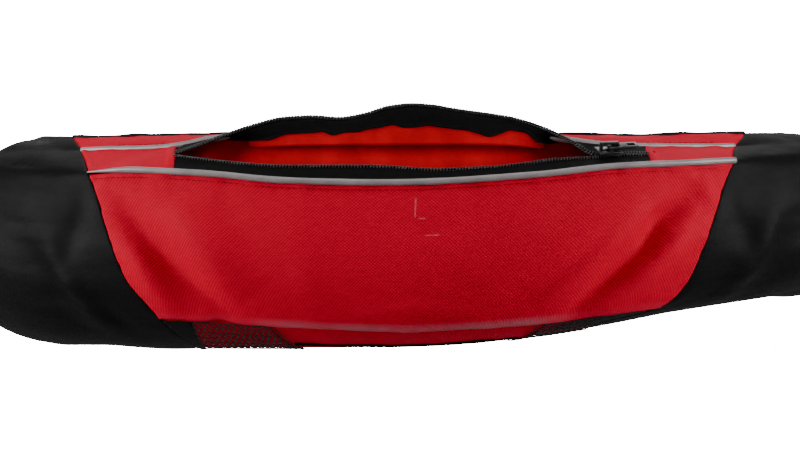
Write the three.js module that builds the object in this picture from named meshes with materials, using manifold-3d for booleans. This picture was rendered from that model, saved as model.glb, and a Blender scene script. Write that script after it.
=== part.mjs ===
// Inflatable belt pack, worn round the waist: a padded cloth bag with an open zip in front,
// two padded cuffs that taper into webbing, and a buckle at the back.
// Millimetres, +Z up, the front of the bag faces -Y, the origin is on the waist's axis.
import * as THREE from "three";
import { mergeVertices } from "three/addons/utils/BufferGeometryUtils.js";
import Module from "manifold-3d";

const { clamp, degToRad, lerp, smoothstep } = THREE.MathUtils;
const wasm = await Module();
wasm.setup();

// Waist: the inside of the loop, a front arc, two side arcs and a back arc
const waistWidth = 385;
const waistDepth = 252;
const sideRadius = 85;
const frontHalfAngle = degToRad(30);

// Bag and cuffs
const packLength = 570;
const packHeight = 98;
const packThick = 54;
const frontBulge = 6.5;
const lowerBulge = 2.5;
const stripBulge = 0.7;
const footCorner = 9;
const seamReach = 167;
const frontCloth = 2;
const lightCloth = 1.5;
const tapeCloth = 1;
const foldTuck = 2.5;
const gap = 0.35;
const seamGap = 0.5;

// Trims
const pipingRadius = 1.5;
const bindingRadius = 0.9;
const lowerPipingRadius = 0.8;
const netThick = 0.8;
const netColumns = 12;
const netRows = 4;
const netStrand = 0.26;
const redAtFold = 55;
const redAtFoot = 45;
const redShift = -3.5;

// Zip
const zipLength = 210;
const zipShift = 2;
const coilRadius = 1;
const sliderFromEnd = 23;
const sliderLength = 11.5;
const sliderNose = 9;
const sliderTail = 7;
const plateThick = 1.3;
const sliderClear = 0.5;
const wedgeWidth = 1;
const crownLength = 9;
const crownWidth = 2;
const crownHeight = 3.8;
const crownWall = 1.2;
const pullLength = 14;
const pullWidth = 6.4;
const pullThick = 1.4;
const pullHole = 4;

// Webbing and buckle
const strapWidth = 38;
const strapThick = 2;
const strapOut = 5;
const strapUp = -1.5;
const strapSewn = 20;
const shortTail = 45;
const longTail = 110;
const buckleLength = 64;
const buckleWidth = 48;
const buckleThick = 12;
const bodyLength = 40;
const frameThick = 4;
const barWidth = 4;
const keeperLength = 12;
const keeperThick = 1.5;
const keeperPlace = 95;

const red = { color: 0xc80a24, roughness: 0.75 };
const black = { color: 0x1c1c1e, roughness: 0.85 };
const grey = { color: 0xa29a9c, roughness: 0.5 };
const metal = { color: 0x4a4a4e, roughness: 0.35, metalness: 0.9 };
const plastic = { color: 0x161618, roughness: 0.45 };

const halfLength = packLength / 2;
const halfHeight = packHeight / 2;

// A short table: its first line names the columns, and each row is one section
function table(names, rows) {
  const keys = names.split(" ");
  return rows.map((row) => Object.fromEntries(keys.map((key, k) => [key, row[k]])));
}

// Lines of the bag. along: share of halfLength; up: share of halfHeight; thick: share of packThick
const outline = table("along top foot lip fold thick", [
  [-1.000, 0.430, -0.510, 0.250, -0.310, 0.22],
  [-0.920, 0.670, -0.860, 0.440, -0.500, 0.50],
  [-0.825, 0.800, -1.080, 0.560, -0.620, 0.75],
  [-0.720, 0.930, -1.200, 0.630, -0.680, 0.90],
  [-0.614, 0.945, -1.170, 0.670, -0.680, 0.97],
  [-0.509, 0.972, -1.100, 0.705, -0.665, 1.00],
  [-0.404, 1.000, -1.065, 0.755, -0.643, 1.00],
  [-0.298, 1.010, -1.020, 0.735, -0.653, 1.00],
  [-0.175, 1.010, -1.005, 0.670, -0.694, 1.00],
  [0.000, 0.995, -0.995, 0.640, -0.745, 1.00],
  [0.175, 0.965, -0.932, 0.673, -0.715, 1.00],
  [0.298, 0.930, -0.865, 0.715, -0.660, 0.99],
  [0.404, 0.890, -0.806, 0.700, -0.643, 0.97],
  [0.509, 0.870, -0.815, 0.680, -0.590, 0.93],
  [0.614, 0.830, -0.825, 0.640, -0.560, 0.90],
  [0.720, 0.790, -0.950, 0.590, -0.540, 0.84],
  [0.825, 0.725, -0.870, 0.500, -0.490, 0.72],
  [0.920, 0.610, -0.700, 0.390, -0.410, 0.50],
  [1.000, 0.430, -0.470, 0.250, -0.290, 0.22],
]);

// Ridge between the top strip and the zip panel, where the upper piping lies
const ridge = table("along out up", [
  [-1.000, 0.315, 0.370],
  [-0.720, 0.315, 0.775],
  [-0.509, 0.315, 0.875],
  [-0.404, 0.315, 0.908],
  [-0.361, 0.306, 0.945],
  [-0.316, 0.287, 1.000],
  [-0.246, 0.250, 1.033],
  [-0.158, 0.231, 1.041],
  [0.000, 0.222, 1.031],
  [0.070, 0.222, 1.020],
  [0.158, 0.241, 0.992],
  [0.211, 0.269, 0.955],
  [0.246, 0.287, 0.922],
  [0.281, 0.306, 0.884],
  [0.333, 0.315, 0.843],
  [0.404, 0.315, 0.810],
  [0.509, 0.315, 0.765],
  [0.720, 0.315, 0.690],
  [1.000, 0.315, 0.370],
]);

// The two rows of teeth. along: share of half the zip, from its middle
const teeth = table("along backOut backUp frontOut frontUp", [
  [-1.000, 0.537, 0.892, 0.574, 0.861],
  [-0.924, 0.463, 0.941, 0.593, 0.847],
  [-0.829, 0.370, 1.024, 0.611, 0.827],
  [-0.686, 0.269, 1.131, 0.639, 0.800],
  [-0.562, 0.213, 1.190, 0.648, 0.782],
  [-0.448, 0.185, 1.200, 0.657, 0.780],
  [-0.324, 0.176, 1.180, 0.667, 0.780],
  [-0.210, 0.167, 1.218, 0.667, 0.776],
  [-0.114, 0.157, 1.278, 0.667, 0.767],
  [-0.019, 0.148, 1.298, 0.667, 0.745],
  [0.076, 0.148, 1.280, 0.667, 0.729],
  [0.171, 0.148, 1.239, 0.667, 0.731],
  [0.286, 0.157, 1.196, 0.667, 0.735],
  [0.410, 0.185, 1.147, 0.657, 0.753],
  [0.552, 0.283, 1.041, 0.639, 0.780],
  [0.648, 0.407, 0.920, 0.611, 0.778],
  [0.724, 0.524, 0.808, 0.593, 0.773],
  [0.781, 0.537, 0.802, 0.589, 0.778],
  [0.838, 0.539, 0.792, 0.587, 0.776],
  [1.000, 0.539, 0.780, 0.587, 0.763],
]);

// Slanted seams between the red panels and the black cuffs, seen from the front.
// up: share of halfHeight; left and right: share of seamReach
const seams = table("up left right", [
  [-1.060, 0.612, 0.450],
  [-0.800, 0.675, 0.500],
  [-0.670, 0.708, 0.665],
  [-0.600, 0.720, 0.705],
  [-0.470, 0.755, 0.748],
  [-0.245, 0.803, 0.785],
  [0.080, 0.840, 0.826],
  [0.700, 0.907, 0.915],
  [0.770, 0.926, 0.950],
  [0.830, 0.944, 0.988],
  [0.865, 0.957, 1.008],
  [0.950, 1.000, 1.035],
  [1.060, 1.030, 1.060],
]);

// Pocket lining in front of the padding. level: 0 at the top, 1 at the foot; out: share of packThick
const lining = table("level out", [
  [0.00, 0.185],
  [0.12, 0.270],
  [0.28, 0.350],
  [0.50, 0.430],
  [0.80, 0.465],
  [0.94, 0.440],
  [1.00, 0.410],
]);

// Soft folds of the front: along and up of the middle, reach and width as shares of halfHeight,
// slant in degrees above the along axis, depth as a share of packThick, out of the bag if positive
const folds = table("along up reach width slant depth", [
  [-0.345, 0.06, 0.62, 0.13, -47, -0.050],
  [-0.375, -0.24, 0.50, 0.12, -50, 0.042],
  [-0.285, 0.20, 0.60, 0.26, -62, 0.030],
  [0.300, 0.00, 0.90, 0.11, 40, -0.055],
  [0.255, 0.16, 0.80, 0.28, 42, 0.036],
  [0.345, -0.22, 0.60, 0.13, 36, 0.036],
  [-0.560, -0.22, 0.55, 0.20, -60, -0.045],
  [-0.500, -0.40, 0.50, 0.14, -58, 0.045],
  [-0.680, 0.25, 0.70, 0.16, -8, -0.030],
  [0.500, -0.30, 0.55, 0.14, 62, 0.045],
  [0.580, -0.10, 0.60, 0.20, 66, -0.045],
  [0.700, 0.20, 0.70, 0.16, 10, -0.030],
]);

// Smooth value of a column: a cubic through the rows that never swings past them
function sample(rows, key, value, name) {
  const last = rows.length - 1;
  const at = clamp(value, rows[0][name], rows[last][name]);
  let k = 0;
  while (k < last - 1 && at > rows[k + 1][name]) k += 1;
  const slope = (m) => (rows[m + 1][key] - rows[m][key]) / (rows[m + 1][name] - rows[m][name]);
  const bend = (m) => {
    if (m === 0 || m === last) return 0;
    const [before, after] = [slope(m - 1), slope(m)];
    return before * after <= 0 ? 0 : (2 * before * after) / (before + after);
  };
  const span = rows[k + 1][name] - rows[k][name];
  const t = (at - rows[k][name]) / span;
  const [t2, t3] = [t * t, t * t * t];
  return rows[k][key] * (2 * t3 - 3 * t2 + 1) + rows[k + 1][key] * (3 * t2 - 2 * t3)
    + span * (bend(k) * (t3 - 2 * t2 + t) + bend(k + 1) * (t3 - t2));
}

// Arcs of the waist line, worked out from its width, depth and side radius
const spoke = (turn) => new THREE.Vector2(Math.sin(turn), -Math.cos(turn));
const sideAcross = waistWidth / 2 - sideRadius;
const frontRadius = sideRadius + sideAcross / Math.sin(frontHalfAngle);
const frontCentre = new THREE.Vector2(0, frontRadius - waistDepth / 2);
const sideCentre = spoke(frontHalfAngle).multiplyScalar(frontRadius - sideRadius).add(frontCentre);
const backLag = sideCentre.y - waistDepth / 2;
const backRadius = (sideRadius ** 2 - sideAcross ** 2 - backLag ** 2) / (2 * (backLag + sideRadius));
const backCentre = new THREE.Vector2(0, waistDepth / 2 - backRadius);
const backHalfAngle = Math.asin(sideAcross / (backRadius - sideRadius));
const frontSpan = frontRadius * frontHalfAngle;
const sideSpan = sideRadius * (Math.PI - frontHalfAngle - backHalfAngle);
const halfWaist = frontSpan + sideSpan + backRadius * backHalfAngle;

// Point at a length along the waist line from the front, a distance out of it and a height
function waistPoint(along, out, up) {
  const run = Math.abs(along);
  let [centre, radius, turn] = [frontCentre, frontRadius, run / frontRadius];
  if (run > frontSpan + sideSpan) {
    [centre, radius, turn] = [backCentre, backRadius, Math.PI - (halfWaist - run) / backRadius];
  } else if (run > frontSpan) {
    [centre, radius, turn] = [sideCentre, sideRadius, frontHalfAngle + (run - frontSpan) / sideRadius];
  }
  const ray = spoke(turn).multiplyScalar(radius + out).add(centre);
  return new THREE.Vector3((along < 0 ? -1 : 1) * ray.x, ray.y, up);
}

// Height or thickness of the bag at a length along the waist
const line = (key, along) => sample(outline, key, along / halfLength, "along") * halfHeight;
const thickShare = (along) => sample(outline, "thick", along / halfLength, "along");
const flat = (out, up) => new THREE.Vector2(out, up);

// The five corner lines of the section, outward and down from the back's top edge to the foot
const corners = [
  (along) => flat(2 * bindingRadius + gap, line("top", along)),
  (along) => flat(
    sample(ridge, "out", along / halfLength, "along") * packThick * thickShare(along),
    sample(ridge, "up", along / halfLength, "along") * halfHeight,
  ),
  (along) => flat(0.815 * packThick * thickShare(along), line("lip", along)),
  (along) => flat(0.907 * packThick * thickShare(along), line("fold", along)),
  (along) => flat(0.407 * packThick * thickShare(along), line("foot", along)),
];
const [backEdge, ridgeLine, lipLine, foldLine, footLine] = corners;
const bulges = [stripBulge, stripBulge, frontBulge, lowerBulge];

// Outward swell of the soft folds
function foldDepth(along, up) {
  let depth = 0;
  for (const fold of folds) {
    const [da, du] = [along - fold.along * halfLength, up - fold.up * halfHeight];
    const [c, s] = [Math.cos(degToRad(fold.slant)), Math.sin(degToRad(fold.slant))];
    const lengthwise = (da * c + du * s) / (fold.reach * halfHeight);
    const across = (du * c - da * s) / (fold.width * halfHeight);
    depth += fold.depth * packThick * Math.exp(-(lengthwise ** 2) - across ** 2);
  }
  return depth;
}

// Outside of the bag. Station 0 is the back's top edge, 1 the ridge, 2 the lip, 3 the fold under
// the front, 4 the foot, 5 the end of the rounded foot corner and 6 the top edge again
function shell(along, station) {
  const part = Math.min(Math.floor(station), 5);
  const share = station - part;
  if (part === 5) {
    return flat(0, lerp(footLine(along).y + footCorner, backEdge(along).y - bindingRadius - gap, share));
  }
  if (part === 4) {
    const turn = share * Math.PI / 2;
    const foot = footLine(along);
    return flat(foot.x * (1 - Math.sin(turn)), foot.y + footCorner * (1 - Math.cos(turn)));
  }
  const start = corners[part](along);
  const end = corners[part + 1](along);
  if (part === 3) start.add(flat(-foldTuck, -gap));
  const run = end.clone().sub(start);
  const away = flat(-run.y, run.x).normalize();
  const swell = part === 2 ? share ** 1.25 : share;
  const point = start.clone().addScaledVector(run, share);
  point.addScaledVector(away, bulges[part] * 4 * swell * (1 - swell));
  if (part === 2) point.x += foldDepth(along, point.y) * Math.sin(Math.PI * share) * thickShare(along);
  return point;
}

// Outward direction of the shell, within the panel that the station lies in
function shellNormal(along, station) {
  const part = Math.min(Math.floor(station), 5);
  const step = 0.02;
  const before = shell(along, Math.max(part, station - step));
  const after = shell(along, Math.min(part + 1 - 1e-6, station + step));
  const run = after.sub(before);
  return flat(-run.y, run.x).normalize();
}

// Point of the section, and the same in space, raised out of the shell by a height
const raised = (along, station, height) => shell(along, station)
  .addScaledVector(shellNormal(along, station), height);
function shellPoint(along, station, height) {
  const point = raised(along, station, height);
  return waistPoint(along, point.x, point.y);
}

// Length along the waist where a line of the section meets the seam surface, less a clearance
// that is measured square to the surface
function seamAlong(side, section, clearance) {
  const surface = (up) => sample(seams, side < 0 ? "left" : "right", up / halfHeight, "up") * seamReach;
  let [low, high] = [0, halfLength * 0.9];
  for (let k = 0; k < 40; k += 1) {
    const mid = (low + high) / 2;
    const { x: out, y: up } = section(side * mid);
    const slope = (surface(up + 0.5) - surface(up - 0.5));
    const reach = surface(up) - clearance * Math.hypot(1, slope);
    if (Math.abs(waistPoint(mid, out, up).x) < reach) low = mid;
    else high = mid;
  }
  return side * low;
}

// Closed solid from its vertices and triangles, with slivers dropped and faces turned outward
function closed(points, triangles) {
  const area = new THREE.Triangle();
  const kept = triangles.filter(([a, b, c]) => area.set(points[a], points[b], points[c]).getArea() > 1e-7);
  let volume = 0;
  for (const [a, b, c] of kept) volume += points[a].dot(points[b].clone().cross(points[c]));
  const geometry = new THREE.BufferGeometry();
  geometry.setAttribute("position", new THREE.Float32BufferAttribute(points.flatMap((p) => p.toArray()), 3));
  geometry.setIndex(kept.flatMap(([a, b, c]) => (volume < 0 ? [a, c, b] : [a, b, c])));
  geometry.computeVertexNormals();
  return geometry;
}

// Closed solid between two skins, each a grid of points
function slab(columns, rows, outer, inner) {
  const points = [];
  for (const skin of [outer, inner]) {
    for (let i = 0; i <= columns; i += 1) {
      for (let j = 0; j <= rows; j += 1) points.push(skin(i, j));
    }
  }
  const id = (layer, i, j) => layer * (columns + 1) * (rows + 1) + i * (rows + 1) + j;
  const triangles = [];
  const quad = (a, b, c, d) => triangles.push([a, b, c], [a, c, d]);
  for (let i = 0; i < columns; i += 1) {
    for (let j = 0; j < rows; j += 1) {
      quad(id(0, i, j), id(0, i, j + 1), id(0, i + 1, j + 1), id(0, i + 1, j));
      quad(id(1, i, j), id(1, i + 1, j), id(1, i + 1, j + 1), id(1, i, j + 1));
    }
    quad(id(0, i, 0), id(0, i + 1, 0), id(1, i + 1, 0), id(1, i, 0));
    quad(id(0, i, rows), id(1, i, rows), id(1, i + 1, rows), id(0, i + 1, rows));
  }
  for (let j = 0; j < rows; j += 1) {
    quad(id(0, 0, j), id(1, 0, j), id(1, 0, j + 1), id(0, 0, j + 1));
    quad(id(0, columns, j), id(0, columns, j + 1), id(1, columns, j + 1), id(1, columns, j));
  }
  return closed(points, triangles);
}

// Tube along a smooth curve through points
function tube(points, radius, sides, steps) {
  const ring = [...Array(sides).keys()].map((k) => {
    const turn = (k / sides) * 2 * Math.PI;
    return new THREE.Vector2(radius * Math.cos(turn), radius * Math.sin(turn));
  });
  return new THREE.ExtrudeGeometry(new THREE.Shape(ring), {
    steps, extrudePath: new THREE.CatmullRomCurve3(points), bevelEnabled: false,
  });
}

const solid = (geometry) => {
  const bare = geometry.clone();
  for (const name of Object.keys(bare.attributes)) if (name !== "position") bare.deleteAttribute(name);
  const merged = mergeVertices(bare, 1e-4);
  const mesh = new wasm.Mesh({
    numProp: 3,
    vertProperties: new Float32Array(merged.attributes.position.array),
    triVerts: new Uint32Array(merged.index.array),
  });
  return new wasm.Manifold(mesh);
};

function geometryOf(manifold) {
  const mesh = manifold.getMesh();
  const geometry = new THREE.BufferGeometry();
  geometry.setAttribute("position", new THREE.BufferAttribute(mesh.vertProperties, 3));
  geometry.setIndex(new THREE.BufferAttribute(mesh.triVerts, 1));
  geometry.computeVertexNormals();
  return geometry;
}

const pack = new THREE.Group();

function add(name, geometry, look, frame) {
  const mesh = new THREE.Mesh(geometry, new THREE.MeshStandardMaterial(look));
  mesh.name = name;
  if (frame) {
    mesh.quaternion.copy(frame.quaternion);
    mesh.position.copy(frame.position);
  }
  pack.add(mesh);
}

const spread = (from, to, count) => [...Array(count + 1).keys()].map((k) => lerp(from, to, k / count));

// Stations of a panel, each end drawn back from its corner line by a length of cloth
function trimmed(part, startTrim, endTrim, count) {
  const length = shell(0, part).distanceTo(shell(0, part + 1 - 1e-6));
  return spread(part + startTrim / length, part + 1 - 1e-6 - endTrim / length, count);
}

// Cloth panel between two stations and two ends, raised out of the shell by a height
function panel(columns, stations, thick, ends, raise = 0) {
  const skin = (height) => (i, j) => {
    const [left, right] = ends(stations[j], height);
    return shellPoint(lerp(left, right, i / columns), stations[j], height);
  };
  return slab(columns, stations.length - 1, skin(raise), skin(raise - thick));
}

const seamEnds = (station, height, clearance = seamGap) => [-1, 1]
  .map((side) => seamAlong(side, (along) => raised(along, station, height), clearance));
const backEnds = (station, height) => seamEnds(station, height, 2 * seamGap);
const pipingTrim = pipingRadius + gap;

// Red front, from the lip piping down to the fold
add("front_panel", panel(32, trimmed(2, pipingTrim, 0, 9), frontCloth, seamEnds), red);

// Red strip along the top and the black panel behind and under the bag
add("top_panel", panel(32, trimmed(0, gap, pipingTrim, 2), lightCloth, seamEnds), red);
const backStations = [...spread(4, 5, 4).slice(0, 4), ...spread(5, 6 - 1e-6, 9)];
add("back_panel", panel(16, backStations, lightCloth, backEnds), black);

// Red panel under the fold, with a thin piping near the foot
const lowerStations = trimmed(3, 0, lightCloth * 0.6, 4);
add("lower_panel", panel(30, lowerStations, lightCloth, seamEnds), red);

// Padding behind the pocket, faced with red lining: the folded inflatable bladder is inside it
const wallColumns = 18;
const wallLevels = [0, 0.05, 0.12, 0.2, 0.32, 0.46, 0.6, 0.74, 0.86, 0.94, 1];
const wallHead = 2.5;
const wallFootRise = 7;
const wallClear = 2.2 * (lightCloth + gap);
const wallUp = (along, level) => {
  const head = Math.min(backEdge(along).y, ridgeLine(along).y) - wallHead;
  return lerp(head, footLine(along).y + wallFootRise, level);
};
const backOut = (along, up) => {
  const foot = footLine(along);
  const rise = clamp((up - foot.y) / footCorner, 0, 1);
  return foot.x * (1 - Math.sqrt(1 - (1 - rise) ** 2));
};
const wallFront = (level) => (along) => flat(
  sample(lining, "out", level, "level") * packThick * thickShare(along),
  wallUp(along, level),
);
const wallBack = (level) => (along) => {
  const up = wallUp(along, level);
  return flat(backOut(along, up) + (up < footLine(along).y + footCorner ? wallClear : lightCloth + gap), up);
};
const wallSkin = (side) => (i, j) => {
  const section = side(wallLevels[j]);
  const along = lerp(seamAlong(-1, section, 2 * seamGap), seamAlong(1, section, 2 * seamGap), i / wallColumns);
  const { x: out, y: up } = section(along);
  return waistPoint(along, out, up);
};
add("padded_back_wall", slab(wallColumns, wallLevels.length - 1, wallSkin(wallFront), wallSkin(wallBack)), red);

// Padded cuffs: at the seam they carry on the bag's section, and they grow round toward the tips
const cuffColumns = 12;
const cuffStations = [
  ...spread(0, 1, 2), ...spread(1, 2, 3).slice(1), ...spread(2, 3 - 1e-6, 9).slice(1), ...spread(3, 4 - 1e-6, 4),
];
function cuffSection(station, roundness) {
  const front = (along) => {
    const boxy = shell(along, station);
    const { x: out, y: up } = boxy;
    const top = backEdge(along).y;
    const level = clamp((up - footLine(along).y) / (top - footLine(along).y), 0, 1);
    const round = packThick * thickShare(along) * Math.sqrt(Math.max(0, 1 - Math.abs(2 * level - 1) ** 2.6));
    return flat(Math.max(lerp(out, round, roundness), 2 * bindingRadius), up);
  };
  const back = (along) => {
    const { x: out, y: up } = front(along);
    return flat(Math.min(backOut(along, up) * (1 - roundness), out - bindingRadius), up);
  };
  return { front, back };
}
function cuff(side) {
  const skin = (face) => (i, j) => {
    const seam = seamAlong(side, cuffSection(cuffStations[j], 0)[face], -seamGap);
    const along = lerp(seam, side * halfLength, (i / cuffColumns) ** 1.1);
    const roundness = smoothstep(i / cuffColumns, 0, 0.7);
    const { x: out, y: up } = cuffSection(cuffStations[j], roundness)[face](along);
    const swell = face === "front" ? foldDepth(along, up) * smoothstep(i, 0, 2) * smoothstep(out, 20, 40) : 0;
    return waistPoint(along, out + swell, up);
  };
  return slab(cuffColumns, cuffStations.length - 1, skin("front"), skin("back"));
}

// Webbing: a flat band along a route in the waist's plane, at one height
function webbing(route, width, thick) {
  const points = route.map(([along, out]) => waistPoint(along, out, 0));
  const sides = points.map((point, k) => {
    const run = points[Math.min(k + 1, points.length - 1)].clone().sub(points[Math.max(k - 1, 0)]);
    return new THREE.Vector3(-run.y, run.x, 0).normalize();
  });
  const skin = (offset) => (i, j) => points[i].clone()
    .addScaledVector(sides[i], offset)
    .setZ(strapUp + (j - 0.5) * width);
  return slab(points.length - 1, 1, skin(thick / 2), skin(-thick / 2));
}

const barAlong = halfWaist - buckleLength / 2 + barWidth / 2;
const loopRadius = Math.hypot(barWidth, frameThick) / 2 + gap + strapThick / 2;
const barOut = strapOut + loopRadius;
const layerOut = strapOut + strapThick + 2 * gap;
function strapRoute(side, tail) {
  const start = halfLength - strapSewn;
  const straight = spread(start, barAlong, 16).map((along) => [along, strapOut]);
  const bend = spread(-Math.PI / 2, Math.PI / 2, 8).slice(1)
    .map((turn) => [barAlong + loopRadius * Math.cos(turn), barOut + loopRadius * Math.sin(turn)]);
  const drop = 4 * loopRadius;
  const back = spread(barAlong - drop, barAlong - tail, Math.ceil(tail / 14)).map((along) => [along, layerOut]);
  return [...straight, ...bend, ...back].map(([along, out]) => [side * along, out]);
}
const leftRoute = strapRoute(-1, shortTail);
const rightRoute = strapRoute(1, longTail);
add("strap_left", webbing(leftRoute, strapWidth, strapThick), black);
add("strap_right", webbing(rightRoute, strapWidth, strapThick), black);

// The cuff tips open in a slot that the webbing is sewn into
const slotRoute = (side) => spread(halfLength - strapSewn - gap, halfLength + strapThick, 4)
  .map((along) => [side * along, strapOut]);
const slot = (side) => solid(webbing(slotRoute(side), strapWidth + 2 * gap, strapThick + 2 * gap));
for (const [name, side] of [["left_cuff", -1], ["right_cuff", 1]]) {
  add(name, geometryOf(solid(cuff(side)).subtract(slot(side))), black);
}

// Elastic band round the long tail
const keeperAlong = barAlong - keeperPlace;
const keeperBox = (grow) => {
  const ends = spread(keeperAlong - keeperLength / 2 - grow, keeperAlong + keeperLength / 2 + grow, 3);
  const middle = (strapOut + layerOut) / 2;
  const depth = layerOut - strapOut + strapThick + 2 * gap + 2 * (grow > 0 ? 0 : keeperThick);
  const width = strapWidth + 2 * gap + 2 * (grow > 0 ? 0 : keeperThick);
  return solid(webbing(ends.map((along) => [along, middle]), width, depth));
};
add("strap_keeper", geometryOf(keeperBox(0).subtract(keeperBox(1))), black);

// Block that follows the back of the waist: across is a distance from the middle of the back
function backBlock(from, to, out, thick, width, up = 0) {
  const ends = spread(from, to, 6);
  const skin = (offset) => (i, j) => {
    const turn = ends[i] / backRadius;
    const reach = backRadius + out + offset;
    return new THREE.Vector3(
      reach * Math.sin(turn), backCentre.y + reach * Math.cos(turn), strapUp + up + (j - 0.5) * width,
    );
  };
  return solid(slab(6, 1, skin(thick / 2), skin(-thick / 2)));
}

// Side-release buckle, one plain piece: a body and a frame with a slot at each end
const frameHalf = buckleLength / 2;
const slotFrom = bodyLength / 2 + gap;
const slotTo = frameHalf - barWidth;
const slotWidth = strapWidth + 4 * gap;
const gripDepth = 5;
const gripLength = 18;
let buckle = backBlock(-frameHalf, frameHalf, barOut, frameThick, buckleWidth);
for (const side of [-1, 1]) {
  buckle = buckle.subtract(backBlock(side * slotFrom, side * slotTo, barOut, 2 * buckleThick, slotWidth));
}
buckle = buckle.add(backBlock(-bodyLength / 2, bodyLength / 2, barOut, buckleThick, buckleWidth));
for (const side of [-1, 1]) {
  const grip = backBlock(-gripLength / 2, gripLength / 2, barOut, 2 * buckleThick, gripDepth,
    side * buckleWidth / 2);
  buckle = buckle.subtract(grip);
}
add("buckle", geometryOf(buckle), plastic);

// Tube that follows a line of the section from seam to seam
function seamTube(section, radius, endClear, steps) {
  const [from, to] = [-1, 1].map((side) => seamAlong(side, section, endClear));
  const points = spread(from, to, steps).map((along) => {
    const { x: out, y: up } = section(along);
    return waistPoint(along, out, up);
  });
  return tube(points, radius, 6, steps);
}
add("piping_top", seamTube(ridgeLine, pipingRadius, 3 * pipingRadius, 40), grey);
add("piping_front", seamTube(lipLine, pipingRadius, 2 * pipingRadius, 36), grey);
const bindingLine = (along) => flat(bindingRadius, backEdge(along).y);
add("top_binding", seamTube(bindingLine, bindingRadius, 4 * bindingRadius, 32), black);

// Thin piping near the foot, between the nets
const pipingStation = 3.55;
const lowerPipingReach = redAtFoot - 2 * pipingRadius;
const lowerPiping = spread(redShift - lowerPipingReach, redShift + lowerPipingReach, 12)
  .map((along) => shellPoint(along, pipingStation, lowerPipingRadius + gap));
add("lower_piping", tube(lowerPiping, lowerPipingRadius, 6, 12), black);

// Net over each end of the lower panel: diamond gaps cut through, one in each cell
function net(side) {
  const corner = (i, j, raise) => {
    const station = lerp(3.07, 3.93, j / netRows);
    const inner = redShift + side * lerp(redAtFold, redAtFoot, j / netRows);
    const outer = seamAlong(side, (along) => raised(along, station, raise), seamGap);
    return shellPoint(lerp(inner, outer, i / netColumns), station, raise);
  };
  const at = (column, row, raise) => {
    const [i, j] = [Math.min(Math.floor(column), netColumns - 1), Math.min(Math.floor(row), netRows - 1)];
    const upper = corner(i, j, raise).lerp(corner(i + 1, j, raise), column - i);
    const lower = corner(i, j + 1, raise).lerp(corner(i + 1, j + 1, raise), column - i);
    return upper.lerp(lower, row - j);
  };
  const points = [];
  const ids = new Map();
  const vertex = (column, row, layer) => {
    const key = `${column.toFixed(3)},${row.toFixed(3)},${layer}`;
    if (!ids.has(key)) {
      ids.set(key, points.length);
      points.push(at(column, row, gap + layer * netThick));
    }
    return ids.get(key);
  };
  const triangles = [];
  const face = (a, b, c) => {
    triangles.push([vertex(...a, 1), vertex(...b, 1), vertex(...c, 1)]);
    triangles.push([vertex(...c, 0), vertex(...b, 0), vertex(...a, 0)]);
  };
  const wall = (a, b) => {
    triangles.push([vertex(...a, 0), vertex(...b, 0), vertex(...b, 1)]);
    triangles.push([vertex(...a, 0), vertex(...b, 1), vertex(...a, 1)]);
  };
  const reach = 0.5 - netStrand / 2;
  for (let i = 0; i < netColumns; i += 1) {
    for (let j = 0; j < netRows; j += 1) {
      const square = [[i, j], [i + 1, j], [i + 1, j + 1], [i, j + 1]];
      const middle = [i + 0.5, j + 0.5];
      const diamond = [[0, -1], [1, 0], [0, 1], [-1, 0]]
        .map(([x, y]) => [middle[0] + x * reach, middle[1] + y * reach]);
      for (let k = 0; k < 4; k += 1) {
        const [next, before] = [(k + 1) % 4, (k + 3) % 4];
        face(square[k], square[next], diamond[k]);
        face(square[k], diamond[k], diamond[before]);
        wall(diamond[next], diamond[k]);
      }
      if (j === 0) wall(square[0], square[1]);
      if (i === netColumns - 1) wall(square[1], square[2]);
      if (j === netRows - 1) wall(square[2], square[3]);
      if (i === 0) wall(square[3], square[0]);
    }
  }
  return closed(points, triangles);
}
add("net_left", net(-1), black);
add("net_right", net(1), black);

// Zip: the two rows of teeth, never nearer than they are when closed
const zipEnds = [zipShift - zipLength / 2, zipShift + zipLength / 2];
const sliderAlong = zipEnds[1] - sliderFromEnd;
function teethLines(along) {
  const share = (along - zipShift) / (zipLength / 2);
  const read = (key) => sample(teeth, key, share, "along");
  const back = flat(read("backOut") * packThick, read("backUp") * halfHeight);
  const front = flat(read("frontOut") * packThick, read("frontUp") * halfHeight);
  const middle = back.clone().add(front).multiplyScalar(0.5);
  const half = front.clone().sub(back).multiplyScalar(0.5);
  half.setLength(Math.max(half.length(), coilRadius + gap / 2));
  return { back: middle.clone().sub(half), front: middle.clone().add(half) };
}
const zipSteps = 42;
const coilPoints = (key) => spread(zipEnds[0], zipEnds[1], zipSteps).map((along) => {
  const { x: out, y: up } = teethLines(along)[key];
  return waistPoint(along, out, up);
});
add("zip_coil_back", tube(coilPoints("back"), coilRadius, 5, zipSteps), black);
add("zip_coil_front", tube(coilPoints("front"), coilRadius, 5, zipSteps), black);

// Strip between two lines of the section, drawn back from each by a trim. Each end is a function
// of the edge, 0 or 1, and of the edge's line in the section
function strip(columns, [from, to], lines, trims, thick) {
  const skin = (offset) => (i, j) => {
    const section = (along) => {
      const [start, end] = lines.map((at) => at(along));
      const run = end.clone().sub(start).normalize();
      const place = j === 0 ? start.addScaledVector(run, trims[0]) : end.addScaledVector(run, -trims[1]);
      return place.addScaledVector(flat(-run.y, run.x), offset);
    };
    const along = lerp(from(j, section), to(j, section), i / columns);
    const { x: out, y: up } = section(along);
    return waistPoint(along, out, up);
  };
  return slab(columns, 1, skin(thick / 2), skin(-thick / 2));
}
const tapeEnds = [() => zipEnds[0], () => zipEnds[1]];
const coilTrim = coilRadius + gap;
const backTeeth = (along) => teethLines(along).back;
const frontTeeth = (along) => teethLines(along).front;
add("zip_tape_back", strip(zipSteps, tapeEnds, [ridgeLine, backTeeth], [pipingTrim, coilTrim], tapeCloth), black);
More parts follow.
